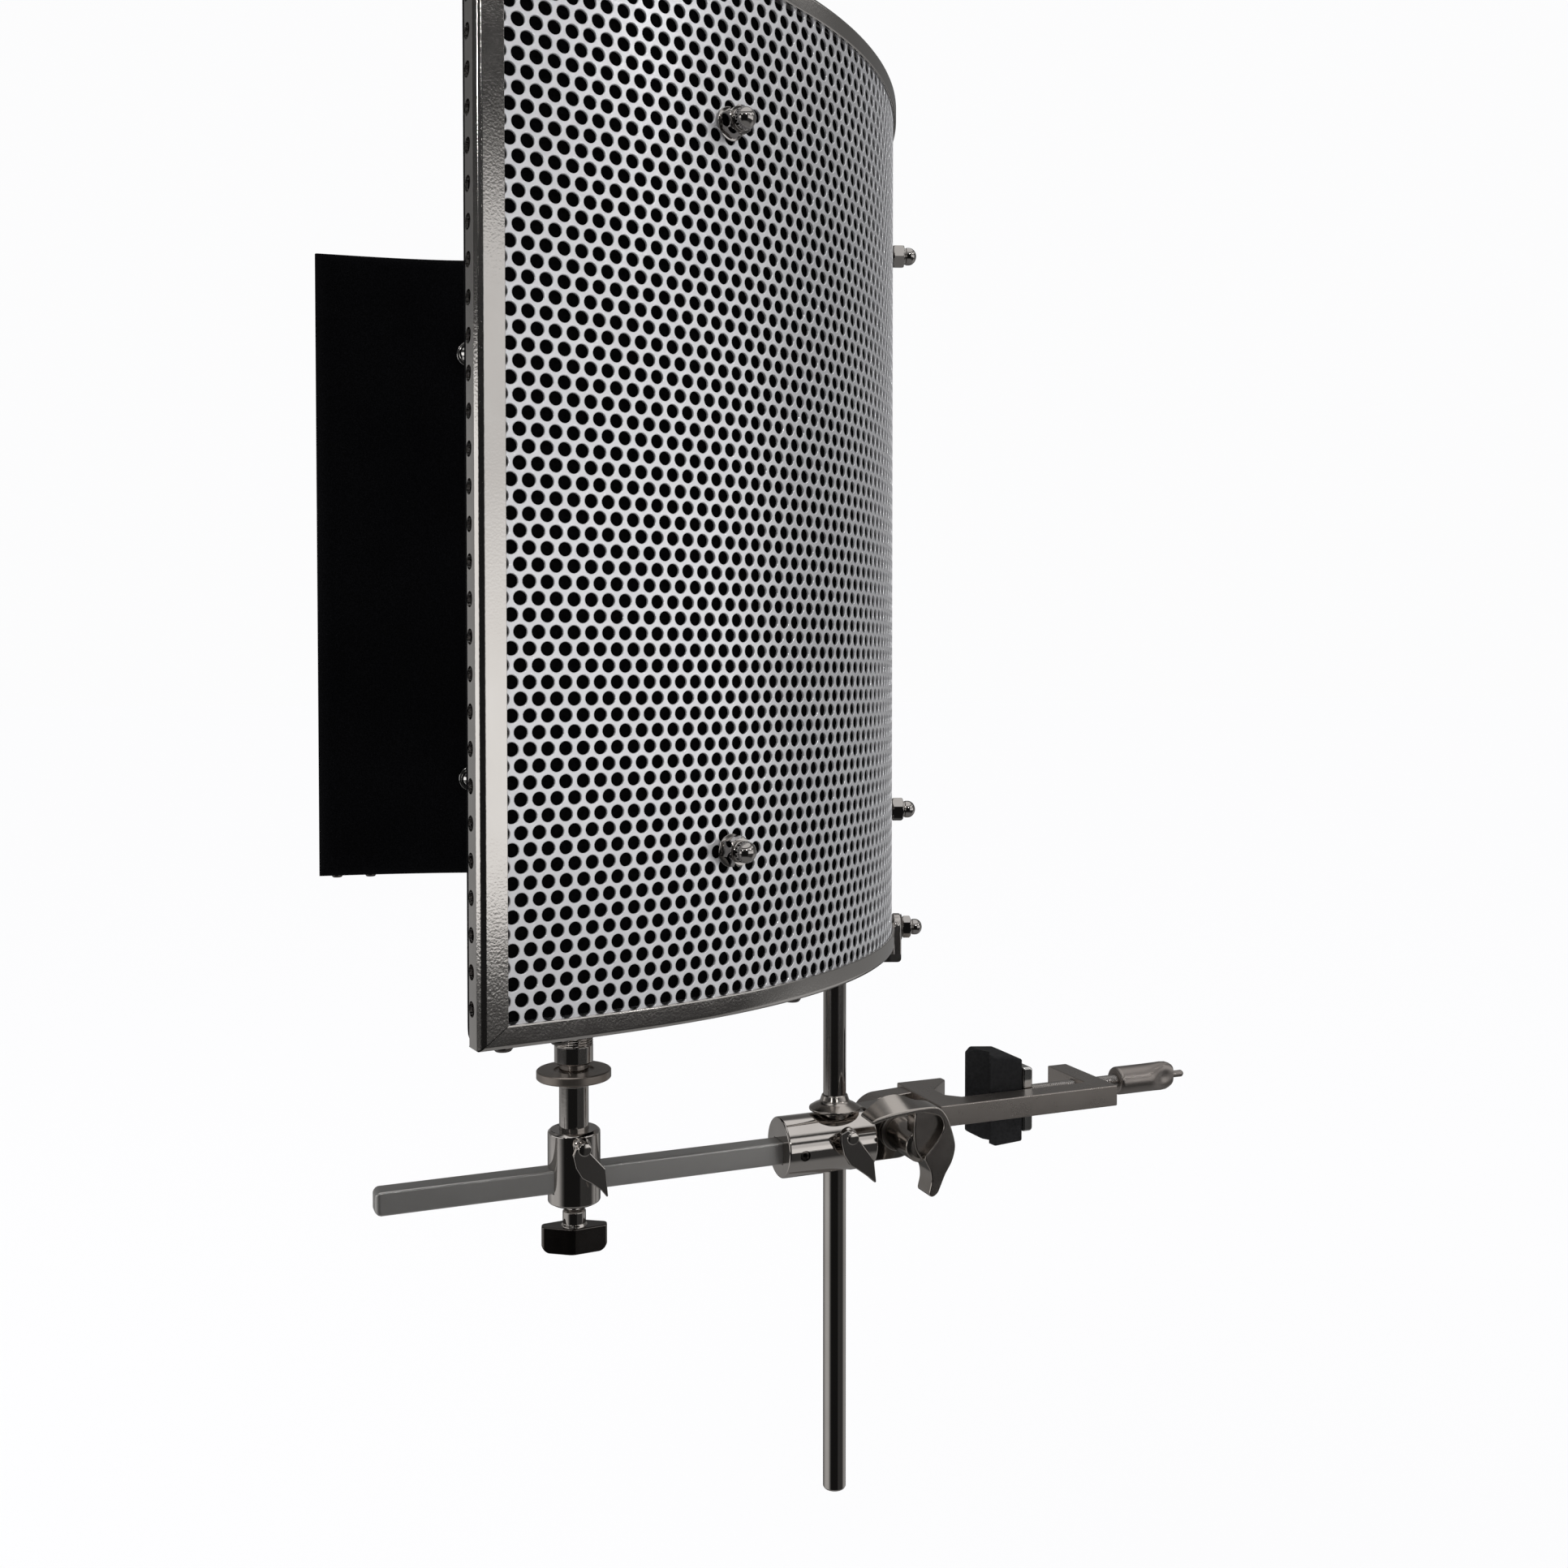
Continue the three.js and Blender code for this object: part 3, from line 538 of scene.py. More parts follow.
def soft(name, dark, light, cell, bump, rough, spec, sheen=0.0):
    """Foam, felt or rubber: cellular or fibrous matte surface between two colours."""
    g = Surface(name)
    vector = g.coords()
    cells = g.node("ShaderNodeTexVoronoi", Vector=vector, Scale=cell, Randomness=1.0)
    fibres = g.noise(vector, scale=cell * 0.55, detail=5.0, rough=0.7)
    patches = g.noise(vector, scale=26.0, detail=3.0, rough=0.5)
    height = g.math("ADD", g.math("MULTIPLY", cells.outputs["Distance"], 0.6),
                    g.math("MULTIPLY", fibres, 0.6))
    color = g.mix(g.remap(height, low=0.25, high=0.8), dark, light)
    shadow = g.remap(patches, low=0.3, high=0.75, to_high=0.35)
    color = g.mix(shadow, color, scaled(dark, (0.6, 0.6, 0.6)))
    g.set(Base_Color=color, Roughness=rough, Specular_IOR_Level=spec,
          Normal=g.bump(height, strength=bump, distance=0.0006))
    if sheen:
        g.set(Sheen_Weight=sheen, Sheen_Roughness=0.6, Sheen_Tint=(0.5, 0.5, 0.55))
    return g.material


# ---------------------------------------------------------------- materials
MATERIALS = {
    "sheet": metal("perforated_aluminium", color=(0.80, 0.80, 0.815), rough=0.34, grain=2600.0,
                   grain_bump=0.05, spread=0.04, wear=0.2, dark=(0.95, 0.95, 0.955),
                   metallic=0.78),
    "trim": metal("dark_nickel_trim", color=(0.62, 0.595, 0.57), rough=0.10, peel=0.034,
                  peel_scale=1500.0, spread=0.02, wear=0.2, dark=(0.93, 0.92, 0.91)),
    "nickel": metal("polished_dark_nickel", color=(0.54, 0.51, 0.485), rough=0.08, peel=0.012,
                    spread=0.02, wear=0.25, dark=(0.9, 0.89, 0.88)),
    "bright": metal("bright_nickel", color=(0.70, 0.685, 0.67), rough=0.08, peel=0.015,
                    spread=0.02, wear=0.25, dark=(0.92, 0.915, 0.91)),
    "satin": metal("satin_nickel", color=(0.49, 0.465, 0.445), rough=0.28, grain=1500.0,
                   grain_bump=0.05, spread=0.04, wear=0.35, dark=(0.9, 0.89, 0.88)),
    "milled": metal("milled_nickel_frame", color=(0.36, 0.328, 0.304), rough=0.28,
                    grain=1500.0, grain_bump=0.03, spread=0.03, wear=0.0,
                    dark=(0.93, 0.92, 0.91), metallic=0.96),
    "brushed": metal("brushed_nickel_bar", color=(0.50, 0.49, 0.475), rough=0.38,
                     stretch=(1, 0.03, 1), grain=2600.0, grain_bump=0.03, spread=0.03,
                     wear=0.3, dark=(0.94, 0.935, 0.93), metallic=0.95),
    "cast": metal("cast_nickel", color=(0.42, 0.388, 0.36), rough=0.18, peel=0.02,
                  peel_scale=700.0, spread=0.03, wear=0.0, dark=(0.88, 0.865, 0.85)),
    "handle": metal("satin_handle", color=(0.31, 0.282, 0.265), rough=0.36, grain=1500.0,
                    grain_bump=0.03, spread=0.03, wear=0.0, dark=(0.9, 0.885, 0.87)),
    # the nuts take a darker copy of the polished nickel: painted shade standing in for the dark
    # surroundings they reflect
    "nut": metal("polished_nuts_darkened_as_painted_shade", color=(0.42, 0.40, 0.385), rough=0.05, spread=0.015,
                 wear=0.0, dark=(0.9, 0.89, 0.88)),
    "disc": metal("turned_brown_nickel", color=(0.33, 0.292, 0.262), rough=0.32, grain=1500.0,
                  grain_bump=0.04, spread=0.04, wear=0.0, dark=(0.87, 0.85, 0.83),
                  metallic=0.96),
    "dark": metal("black_nickel", color=(0.15, 0.138, 0.13), rough=0.15, peel=0.02,
                  spread=0.03, wear=0.3),
    "foil": metal("foil", color=(0.82, 0.82, 0.81), rough=0.3, peel=0.4, peel_scale=160.0),
    "foam": soft("acoustic_foam", dark=(0.0006, 0.0006, 0.0007), light=(0.0032, 0.0032, 0.0037),
                 cell=1500.0, bump=0.5, rough=1.0, spec=0.02),
    # black felt, made darker than felt is so that the holes in the sheet show painted shade
    "felt": soft("felt_darkened_as_painted_hole_shade", dark=(0.0008, 0.0008, 0.0009), light=(0.0030, 0.0030, 0.0033),
                 cell=900.0, bump=0.6, rough=1.0, spec=0.02),
    "wool": soft("grey_wool", dark=(0.20, 0.19, 0.17), light=(0.42, 0.40, 0.37), cell=800.0,
                 bump=0.8, rough=1.0, spec=0.25, sheen=0.2),
    "rubber": soft("black_rubber", dark=(0.006, 0.006, 0.0065), light=(0.014, 0.014, 0.015),
                   cell=700.0, bump=0.10, rough=0.55, spec=0.2),
}
# the wool slot takes that near-black felt; part of its darkness is painted shade seen in the
# holes
SLOT_MATERIAL = {
    "perforated_sheet": "sheet", "channel_trim": "trim", "foam": "foam", "wool": "felt",
    "foil": "foil", "polished_nickel": "nickel", "satin_nickel": "satin",
    "black_nickel": "dark", "rubber": "rubber",
}
RECORD = frame["record"]
SLOT_OF = {part["node"]: part["material_slot"] for part in RECORD["subparts"]}
BODY_OF = {node: body for body, nodes in RECORD["behaviour"]["bodies"].items() for node in nodes}


def set_material(obj, node, material=None):
    obj.data.materials.clear()
    obj.data.materials.append(MATERIALS[material or SLOT_MATERIAL[SLOT_OF[node]]])


for node_name, node_obj in frame["nodes"].items():
    set_material(node_obj, node_name)


def give(obj, node, material=None):
    """Puts a finished piece in its node's place, with the node's slot, body and material."""
    if len(obj.data.polygons) < 40000 and not obj.modifiers:
        weighted_normals(obj, 90)  # flat faces stay flat beside their fillets
    set_material(obj, node, material)
    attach(obj, BODY_OF[node])
    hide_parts(node)


# ---------------------------------------------------------------- perforated outer sheet
PITCH, ROW = 5.2276, 4.5272       # hole spacing along a row, and between rows
HOLE_R, BROKEN_EDGE = 1.975, 0.16
SHEET_FACE, SHEET_BACK = 1.1, 1.8  # depths of the two faces
SHEET_MARGIN = 1.4
FIRST_ARC, ROW_0_Z = 11.5, 130.37  # position of hole column -10, and of row 0
HOLE_SIDES, STRIPS = 18, 9


def hole_centres(first, last):
    """Arcs and heights of the holes in columns first to last, half a pitch apart."""
    centres = []
    for row in range(-28, 39):
        z = ROW_0_Z + ROW * row
        for column in range(first, last):
            arc = FIRST_ARC + (column + 10) * PITCH / 2
            in_arc = arc - 1.97 >= SHEET_MARGIN and arc + 1.97 <= LENGTH - SHEET_MARGIN
            in_z = z - HOLE_R >= SHEET_MARGIN and z + HOLE_R <= HEIGHT - SHEET_MARGIN
            if (column + row) % 2 == 0 and in_arc and in_z:
                centres.append((arc, z))
    return np.array(centres).T


def hex_cell():
    """Points around one hexagonal cell, HOLE_SIDES in all."""
    radius = PITCH / 2 / math.cos(math.radians(30))
    corners = [radius * np.array([math.cos(math.radians(a)), math.sin(math.radians(a))])
               for a in range(30, 390, 60)]
    per = HOLE_SIDES // 6
    return np.array([a + (b - a) * j / per
                     for a, b in zip(corners, corners[1:] + corners[:1]) for j in range(per)])


def perforated(name, first, last):
    """Upright strip of the sheet: hexagonal cells, each with a round, edge-broken hole."""
    arcs, heights = hole_centres(first, last)
    count = len(arcs)
    cell = hex_cell()
    angles = np.array([math.atan2(b, a) for a, b in cell])
    cell_arc = np.clip(arcs[:, None] + cell[None, :, 0], SHEET_MARGIN, LENGTH - SHEET_MARGIN)
    cell_z = np.clip(heights[:, None] + cell[None, :, 1], SHEET_MARGIN, HEIGHT - SHEET_MARGIN)
    key = np.round(np.stack([cell_arc.ravel(), cell_z.ravel()], 1), 2)
    _, unique, shared = np.unique(key, axis=0, return_index=True, return_inverse=True)
    shared = shared.reshape(count, HOLE_SIDES)
    cell_arc, cell_z = cell_arc.ravel()[unique], cell_z.ravel()[unique]

    def circles(radius, depth):
        arc = arcs[:, None] + np.cos(angles)[None] * radius
        z = heights[:, None] + np.sin(angles)[None] * radius
        return wall(arc.ravel(), depth, z.ravel())

    verts = [wall(cell_arc, SHEET_FACE, cell_z), wall(cell_arc, SHEET_BACK, cell_z),
             circles(HOLE_R + BROKEN_EDGE, SHEET_FACE),
             circles(HOLE_R, SHEET_FACE + BROKEN_EDGE), circles(HOLE_R, SHEET_BACK)]
    base = np.cumsum([0] + [len(v) for v in verts])
    index = np.arange(count * HOLE_SIDES).reshape(count, HOLE_SIDES)
    # from the cell's outer face through the hole to its inner face
    loops = [shared] + [base[k] + index for k in (2, 3, 4)] + [base[1] + shared]
    quads = [np.stack([near, np.roll(near, -1, 1), np.roll(far, -1, 1), far], -1).reshape(-1, 4)
             for near, far in zip(loops, loops[1:])]
    # edges used once bound the strip, and get rim faces
    edges = np.stack([shared, np.roll(shared, -1, 1)], -1).reshape(-1, 2)
    _, where, uses = np.unique(np.sort(edges, 1), axis=0, return_index=True, return_counts=True)
    edges = edges[where[uses == 1]]
    start, stop = edges[edges[:, 0] != edges[:, 1]].T
    quads.append(np.stack([stop, start, base[1] + start, base[1] + stop], -1))
    quads = np.concatenate(quads)
    # clipping at the sheet's border collapses some
    quads = quads[(quads[:, 0] != quads[:, 1]) & (quads[:, 2] != quads[:, 3])]
    return add(name, np.concatenate(verts), quads, angle=28, recalc=False)


first_column = -14
last_column = int((LENGTH - FIRST_ARC) / (PITCH / 2)) - 8
columns = [first_column + round((last_column - first_column) * i / STRIPS)
           for i in range(STRIPS + 1)]
columns = [c + (c - first_column) % 2 for c in columns]
for i in range(STRIPS):
    strip = perforated(f"outer_sheet_strip_{i + 1}", columns[i], columns[i + 1])
    give(strip, "outer_sheet")

# ---------------------------------------------------------------- wool and rolled channels
wool = [(2.35, 6.9), (5.2, 6.9), (5.2, HEIGHT - 6.9), (2.35, HEIGHT - 6.9)]
# the blanket behind the holes is the near-black felt, whose darkness is partly painted shade
give(add("outer_wool_blanket", *wall_sweep(wool, 8, LENGTH - 8)), "outer_wool", "felt")

END_ARC = -1.0   # the end channels' web, as an arc position
END_W = 7.3      # arc position where their flanges end
RIM_H = 6.4      # flange height of the top and bottom channels
CHANNEL_W, CHANNEL_T = 10.0, 0.9
CHANNEL_IN = CHANNEL_W - CHANNEL_T
MITRE = (END_W - END_ARC) / RIM_H

# (depth, height, fillet)
rim = np.array(rounded([
    (0, RIM_H, 0.6), (0, 0, 1.5), (CHANNEL_W, 0, 1.5), (CHANNEL_W, RIM_H, 0.25),
    (CHANNEL_IN, RIM_H, 0.25), (CHANNEL_IN, CHANNEL_T, 0.6), (CHANNEL_T, CHANNEL_T, 0.6),
    (CHANNEL_T, RIM_H, 0.25)], 6))
rim_start = END_ARC + np.maximum(rim[:, 1], 0.0) * MITRE + 0.17
for side, section in (("bottom", rim), ("top", rim * [1, -1] + [0, HEIGHT])):
    swept = wall_sweep(section, rim_start, LENGTH - rim_start)
    give(add(f"{side}_channel_rolled", *swept, angle=32), f"{side}_channel")

# ---------------------------------------------------------------- end channels
VENT_R, VENT_PITCH, VENT_Z0, VENT_COUNT = 2.2, 10.015, 10.7, 30
END_IN = END_ARC + CHANNEL_T


def end_channel(side, mirror):
    """Upright channel over a wing end, mitred to the rims, with a row of round holes."""
    # (depth, arc, fillet)
    section = np.array(rounded([
        (0, END_W, 0.25), (0, END_ARC, 2.5), (CHANNEL_W, END_ARC, 2.5),
        (CHANNEL_W, END_W, 0.25), (CHANNEL_IN, END_W, 0.25), (CHANNEL_IN, END_IN, 1.6),
        (CHANNEL_T, END_IN, 1.6), (CHANNEL_T, END_W, 0.25)], 8))
    low = np.maximum(section[:, 1] - END_ARC, 0) / MITRE + 0.12
    verts, faces = loft([wall(section[:, 1], section[:, 0], low + (HEIGHT - 2 * low) * t)
                         for t in np.linspace(0, 1, 41)])
    channel = add(f"end_channel_{side}_pressed", verts * mirror, faces, angle=32)
    point, past_end, _ = wall_frame(0.0, 5.9, 0.0)
    hole = [(0, -0.6, 0), (VENT_R, -0.6, 0), (VENT_R, 3.5, 0), (0, 3.5, 0)]
    holes = joined([
        lathe(hole, past_end * mirror, point * mirror + Z * (VENT_Z0 + VENT_PITCH * k), 32)
        for k in range(VENT_COUNT)])
    boolean(channel, add("cut", *holes))
    give(channel, f"end_channel_{side}")


end_channel("right", np.array([1, 1, 1]))
end_channel("left", np.array([-1, 1, 1]))

# ---------------------------------------------------------------- foam lining
BOLT_SITES = [(arc, z) for z in BOLT_ROWS
              for arc in (*BOLT_ARC, LENGTH - BOLT_ARC[1], LENGTH - BOLT_ARC[0])]
FOAM_BACK, FOAM_T = 10.2, 13.8   # depth of its outer face, and its thickness
FOAM_ROUND = 7.4                 # reach of the rounded edge
FOAM_MESH = (250, 116)           # stations between the edge ones, along arc and height


def foam():
    """Panel with rounded edges, a slightly wavy inner face and a dimple at each bolt."""
    arc0, arc1, z0, z1 = 1.2, LENGTH + 0.95, 0.3, HEIGHT - 0.3
    edge = np.array([0, 0.12, 0.3, 0.6, 1.0, 1.5, 2.1, 2.8, 3.6, 4.5, 5.4, 6.3, 7.2, 8.2])

    def stations(start, stop, count):
        span = stop - start
        middle = np.linspace(10.2, span - 10.2, count)
        return np.concatenate([edge, middle, span - edge[::-1]]) + start

    arc, z = np.meshgrid(stations(arc0, arc1, FOAM_MESH[0]), stations(z0, z1, FOAM_MESH[1]),
                         indexing="ij")
    from_end, from_rim = np.minimum(arc - arc0, arc1 - arc), np.minimum(z - z0, z1 - z)
    blend = 3.2  # exponent that rounds the distance field at the corners
    from_edge = (np.maximum(from_end, 1e-4) ** -blend
                 + np.maximum(from_rim, 1e-4) ** -blend) ** (-1 / blend)
    inside = np.clip(from_edge / FOAM_ROUND, 0, 1)
    power = 2.5
    depth = FOAM_BACK + FOAM_T * (1 - (1 - inside) ** power) ** (1 / power)
    rng = np.random.default_rng(7)
    waves = np.zeros_like(arc)
    for _ in range(14):
        per_arc, per_z = rng.uniform(0.01, 0.09), rng.uniform(0.01, 0.09)
        phase = rng.uniform(0, 6.28)
        waves += np.sin(arc * per_arc + z * per_z * rng.choice([-1, 1]) + phase)
    depth += waves * 0.035 * inside
    depth += rng.normal(0, 0.05, arc.shape) * inside
    for bolt_arc, bolt_z in BOLT_SITES:
        away = np.hypot(arc - bolt_arc, z - bolt_z)
        depth -= 1.5 * np.exp(-((np.maximum(away - 6.0, 0)) / 4.5) ** 2) * inside
    front = wall(arc.ravel(), depth.ravel(), z.ravel())
    back = wall(arc.ravel(), FOAM_BACK, z.ravel())
    index = np.arange(arc.size).reshape(arc.shape)
    quads = np.stack([index[:-1, :-1], index[1:, :-1], index[1:, 1:], index[:-1, 1:]], -1)
    quads = quads.reshape(-1, 4)
    back_index = index + arc.size
    for border in (np.s_[0], np.s_[-1], np.s_[:, 0], np.s_[:, -1]):
        back_index[border] = index[border]  # both faces share the border
    quads = np.concatenate([quads, back_index.ravel()[quads][:, ::-1]])
    verts = np.concatenate([front, back])
    used = np.unique(quads)
    renumber = np.zeros(len(verts), int)
    renumber[used] = np.arange(len(used))
    return add("foam_lining_panel", verts[used], renumber[quads], angle=70)


give(foam(), "foam_lining", "foam")


# ---------------------------------------------------------------- wall fasteners
def cap_nut(node, origin, axis, flats, hex_h, total, washer, spin):
    """Domed hexagonal nut on a dished washer. flats is its width, washer a radius."""
    bore, washer_t = 2.4, 0.8
    place = around(axis, origin)
    cos, sin = math.cos(spin), math.sin(spin)

    def spun(a, b, h):
        return place(a * cos - b * sin, a * sin + b * cos, h)

    dish = [(bore, 0.02, 0), (washer - 0.5, 0.02, 0), (washer, 0.35, 0.2),
            (washer - 0.15, washer_t * 0.55, 0.3), (washer * 0.72, washer_t, 0.3),
            (bore, washer_t, 0)]
    hex_top = hex_h + washer_t * 0.6
    dome_z = hex_top + 1.9
    radius = flats / 2 * 0.81
    dome = [(radius * 0.98, hex_top), (radius * 0.93, hex_top + 0.25),
            (radius * 0.93, hex_top + 0.6), (radius, hex_top + 0.95), (radius, dome_z)]
    for k in range(1, 9):
        angle = k / 9 * math.pi / 2
        height = dome_z + (total - dome_z) * math.sin(angle)
        dome.append((radius * math.cos(angle), height))
    dome.append((radius * 0.06, total))
    rings = hex_rings(flats / 2, washer_t + 0.02, hex_top, spun)
    rings += [ring(spun, r, h, 96) for r, h in dome]
    parts = joined([lathe(dish, axis, origin, 64), loft(rings)])
    # the nut material's darkness is painted shade
    give(add(f"{node}_domed", *parts, angle=24), node, "nut")


NUT_SPINS = [0.3, 0.75, 0.1, 0.5, 0.62, 0.2, 0.9, 0.4]  # radians
HEAD = -23.6  # seat of the bolt head, measured outward from the outer face
# shank through the wall, washer and domed head: (radius, outward position, fillet)
BOLT = [(0, 2.8, 0), (2.4, 2.8, 0.3), (2.4, HEAD, 0), (6.2, HEAD, 0.25), (6.2, HEAD - 0.9, 0.35),
        (4.8, HEAD - 1.0, 0), (4.8, HEAD - 2.0, 0.3), (4.4, HEAD - 3.2, 0.8),
        (3.2, HEAD - 4.3, 0.9), (1.6, HEAD - 4.85, 0.6), (0, HEAD - 5.0, 0)]
for i, (arc, z) in enumerate(BOLT_SITES):
    point, _, out = wall_frame(arc, 0.9, z)
    cap_nut(f"cap_nut_{i + 1}", point + out * 0.2, out, flats=8.0, hex_h=4.5, total=9.8,
            washer=4.95, spin=NUT_SPINS[i])
    point, _, out = wall_frame(arc, 0.0, z)
    bolt = add(f"through_bolt_{i + 1}_domed", *lathe(BOLT, out, point, 56, 3), angle=40)
    give(bolt, f"through_bolt_{i + 1}", "bright")

RIM_SCREW_ARC = [7.5, 24.0, 112.0]
RIM_SCREW = [(0, 4.4, 0), (0.9, 4.2, 0), (1.05, 0.0, 0), (2.7, -0.1, 0.1), (2.7, -0.7, 0.3),
             (2.1, -1.45, 0.5), (0, -1.75, 0)]
SLOT_HALF_L, SLOT_HALF_W = 1.35, 0.26
for i, arc in enumerate(RIM_SCREW_ARC + [LENGTH - arc for arc in RIM_SCREW_ARC]):
    point, _, _ = wall_frame(arc, 5.0, 0.0)
    screw = add(f"rim_screw_{i + 1}_panhead", *lathe(RIM_SCREW, Z, point, 40, 3), angle=40)
    turn = 0.4 + 0.9 * i
    for angle in (turn, turn + math.pi / 2):  # crossed slots
        along = np.array([math.cos(angle), math.sin(angle), 0])
        across = np.array([-math.sin(angle), math.cos(angle), 0])
        cut_box(screw, [point + along * a * SLOT_HALF_L + across * b * SLOT_HALF_W + Z * z
                        for a in (-1, 1) for b in (-1, 1) for z in (-2.4, -1.0)])
    give(screw, f"rim_screw_{i + 1}")

# ---------------------------------------------------------------- rod bracket
STRAP_Z, STRAP_T = -9.4, 3.0
STRAP_TOP = STRAP_Z + STRAP_T
TAB_Z, TAB_T, TAB_HALF_W = 8.6, 3.0, 5.2
TAB_DEPTH = -0.35   # inner face of the tabs, just outside the wall
TAB_SITES = (BOLT_ARC[1], LENGTH - BOLT_ARC[1])
ROD_HOLE = dict(axis=Z, origin=ROD, radius=4.2, low=-14, high=2)

# strap under the wall between the tabs
section = rounded([(0.8, STRAP_Z, 0.7), (13, STRAP_Z, 0.7), (13, STRAP_TOP, 0.7),
                   (0.8, STRAP_TOP, 0.7)], 3)
strap = add("rod_bracket_bent", *wall_sweep(
    section, TAB_SITES[0] - TAB_HALF_W, TAB_SITES[1] + TAB_HALF_W, 72), angle=32)
drill(strap, **ROD_HOLE)

# two bent feet, each with an upright tab
foot = rounded([(-3.35, STRAP_Z, 2.6), (2, STRAP_Z, 0), (2, STRAP_TOP, 0),
                (-3.35, STRAP_TOP, 0)], 5)
tab = rounded([(-TAB_HALF_W, STRAP_Z + 2.2, 0.3), (TAB_HALF_W, STRAP_Z + 2.2, 0.3),
               (TAB_HALF_W, TAB_Z, 5.0), (-TAB_HALF_W, TAB_Z, 5.0)], 8)
parts = []
for arc in TAB_SITES:
    parts.append(wall_sweep(foot, arc - TAB_HALF_W, arc + TAB_HALF_W, 8))
    point, back_along, out = wall_frame(arc, TAB_DEPTH, 0.0)
    parts.append(slab(tab, 0.0, TAB_T, placer(point, back_along, Z, out), 0.55))
give(add("rod_bracket_tabs", *joined(parts), angle=32), "rod_bracket")
give(strap, "rod_bracket")

for k, arc in enumerate(TAB_SITES):
    point, _, out = wall_frame(arc, TAB_DEPTH - TAB_T - 0.05, 3.4)
    cap_nut(f"bracket_nut_{k + 1}", point, out, flats=7.4, hex_h=3.4, total=8.4, washer=5.0,
            spin=0.5)

rings = hex_rings(6.9, STRAP_TOP + 0.15, -2.5, placer(ROD, X, Y, Z))
nut = add("rod_top_nut_hex", *loft(rings), angle=24)
drill(nut, **ROD_HOLE)
give(nut, "rod_top_nut")

# ---------------------------------------------------------------- rod, boss, bar
rod = lathe([(0, -256, 0), (5, -256, 1.1), (5, STRAP_Z - 0.15, 0.5), (3.7, STRAP_Z - 0.15, 0),
             (3.7, -3.6, 0), (3.0, -2.4, 0), (0, -2.3, 0)], Z, ROD, 96, 5)
give(add("support_rod_turned", *rod, angle=35), "support_rod")

BOSS_Z, BOSS_Y0, BOSS_Y1, BOSS_R = -102.6, 168.0, 209.6, 13.0
GRUB = (0, 175.2, -103.6)


def lug_arc(start, stop):
    """Round end about the tilt axis, as (y, z)."""
    return [(TILT_Y + LUG_R * math.cos(a), TILT_Z + LUG_R * math.sin(a))
            for a in np.linspace(start, stop, 33)]


# boss along y, with a flat tongue for the tilt bolt
profile = [(0, BOSS_Y0, 0), (BOSS_R, BOSS_Y0, 0.9), (BOSS_R, BOSS_Y1, 0.9), (0, BOSS_Y1, 0)]
boss = add("rod_clamp_boss_turned", *lathe(profile, Y, (0, 0, BOSS_Z), 128, 5), angle=32)
tongue = [(BOSS_Y1 - 2, TILT_Z - LUG_R), *lug_arc(-math.pi / 2, math.pi / 2),
          (BOSS_Y1 - 2, TILT_Z + LUG_R - 1.0)]
boolean(boss, add("tongue", *slab(tongue, -6, 6, IN_YZ, 0.6), angle=32), "UNION")
drill(boss, Z, ROD, 7.2, -130, -80)
cut_bar_channel(boss, 4.95, BOSS_Y0 - 5, 188.9)
drill(boss, X, TILT, 4.3, -12, 12)
drill(boss, X, GRUB, 2.3, 4, 20)
give(boss, "rod_clamp_boss")

bushing = lathe([
    (5.12, -113.2, 0), (6.9, -113.2, 0.4), (6.9, -89.4, 0), (8.4, -89.4, 0.1),
    (8.4, -88.8, 0.1), (11.2, -88.6, 0.35), (11.2, -87.6, 0.5), (9.2, -86.4, 1.5),
    (6.6, -85.2, 2.6), (5.6, -82.2, 0.5), (5.12, -81.9, 0)], Z, ROD, 96, 6)
give(add("rod_bushing_flanged", *bushing, angle=35), "rod_bushing", "cast")

grub = add("bar_grub_screw_socket", *lathe(
    [(0, 5.1, 0), (2.1, 5.1, 0.3), (2.1, 12.3, 0.3), (0, 12.3, 0)], X, GRUB, 40, 3), angle=35)
sixths = np.arange(6) * math.pi / 3
place = placer(GRUB, Y, Z, X)
socket = [place(1.1 * np.cos(sixths), 1.1 * np.sin(sixths), np.full(6, x)) for x in (10.0, 14.0)]
boolean(grub, add("cut", *loft(socket)))
give(grub, "bar_grub_screw")

BAR_HALF, BAR_CHAMFER = 9.5 / 2, 1.5
square = np.array(rounded([(-BAR_HALF, -BAR_HALF, 0.9), (BAR_HALF, -BAR_HALF, 0.9),
                           (BAR_HALF, BAR_HALF, 0.9), (-BAR_HALF, BAR_HALF, 0.9)]))
rings = []
# y, how far the section shrinks
for y, shrink in [(-2.0, BAR_CHAMFER), (-1.6, BAR_CHAMFER * 0.62), (-0.9, BAR_CHAMFER * 0.22),
                  (0.1, 0), (60, 0), (120, 0), (188.6, 0)]:
    x, z = (square * (BAR_HALF - shrink) / BAR_HALF).T
    rings.append(np.stack([x, np.full(len(x), y), z + BAR_Z], -1))
give(add("square_bar_drawn", *loft(rings)), "square_bar", "brushed")

# ---------------------------------------------------------------- thumb screws
# blade outlines: (y, z, fillet) from the screw's axis
ROD_BLADE = [(-5.2, 2.6, 0.7), (-2.4, 3.8, 0.7), (0.6, 2.4, 0.9), (10.0, -10.2, 1.0),
             (11.2, -21.0, 0.5), (7.2, -17.4, 1.2), (2.4, -13.8, 1.5), (-1.0, -11.6, 1.5),
             (-3.8, -7.0, 1.5), (-5.2, -1.6, 1.0)]
MIC_BLADE = [(-3.2, 0.8, 0.7), (-1.2, 1.6, 0.7), (0.6, 0.4, 0.9), (8.5, -8.6, 0.8),
             (9.7, -21.0, 0.4), (6.8, -17.3, 1.2), (2.8, -14.0, 1.5), (-1.0, -11.6, 1.5),
             (-3.5, -7.3, 1.5), (-4.6, -2.4, 1.0)]
MIC_SCREW_Z = -88.2


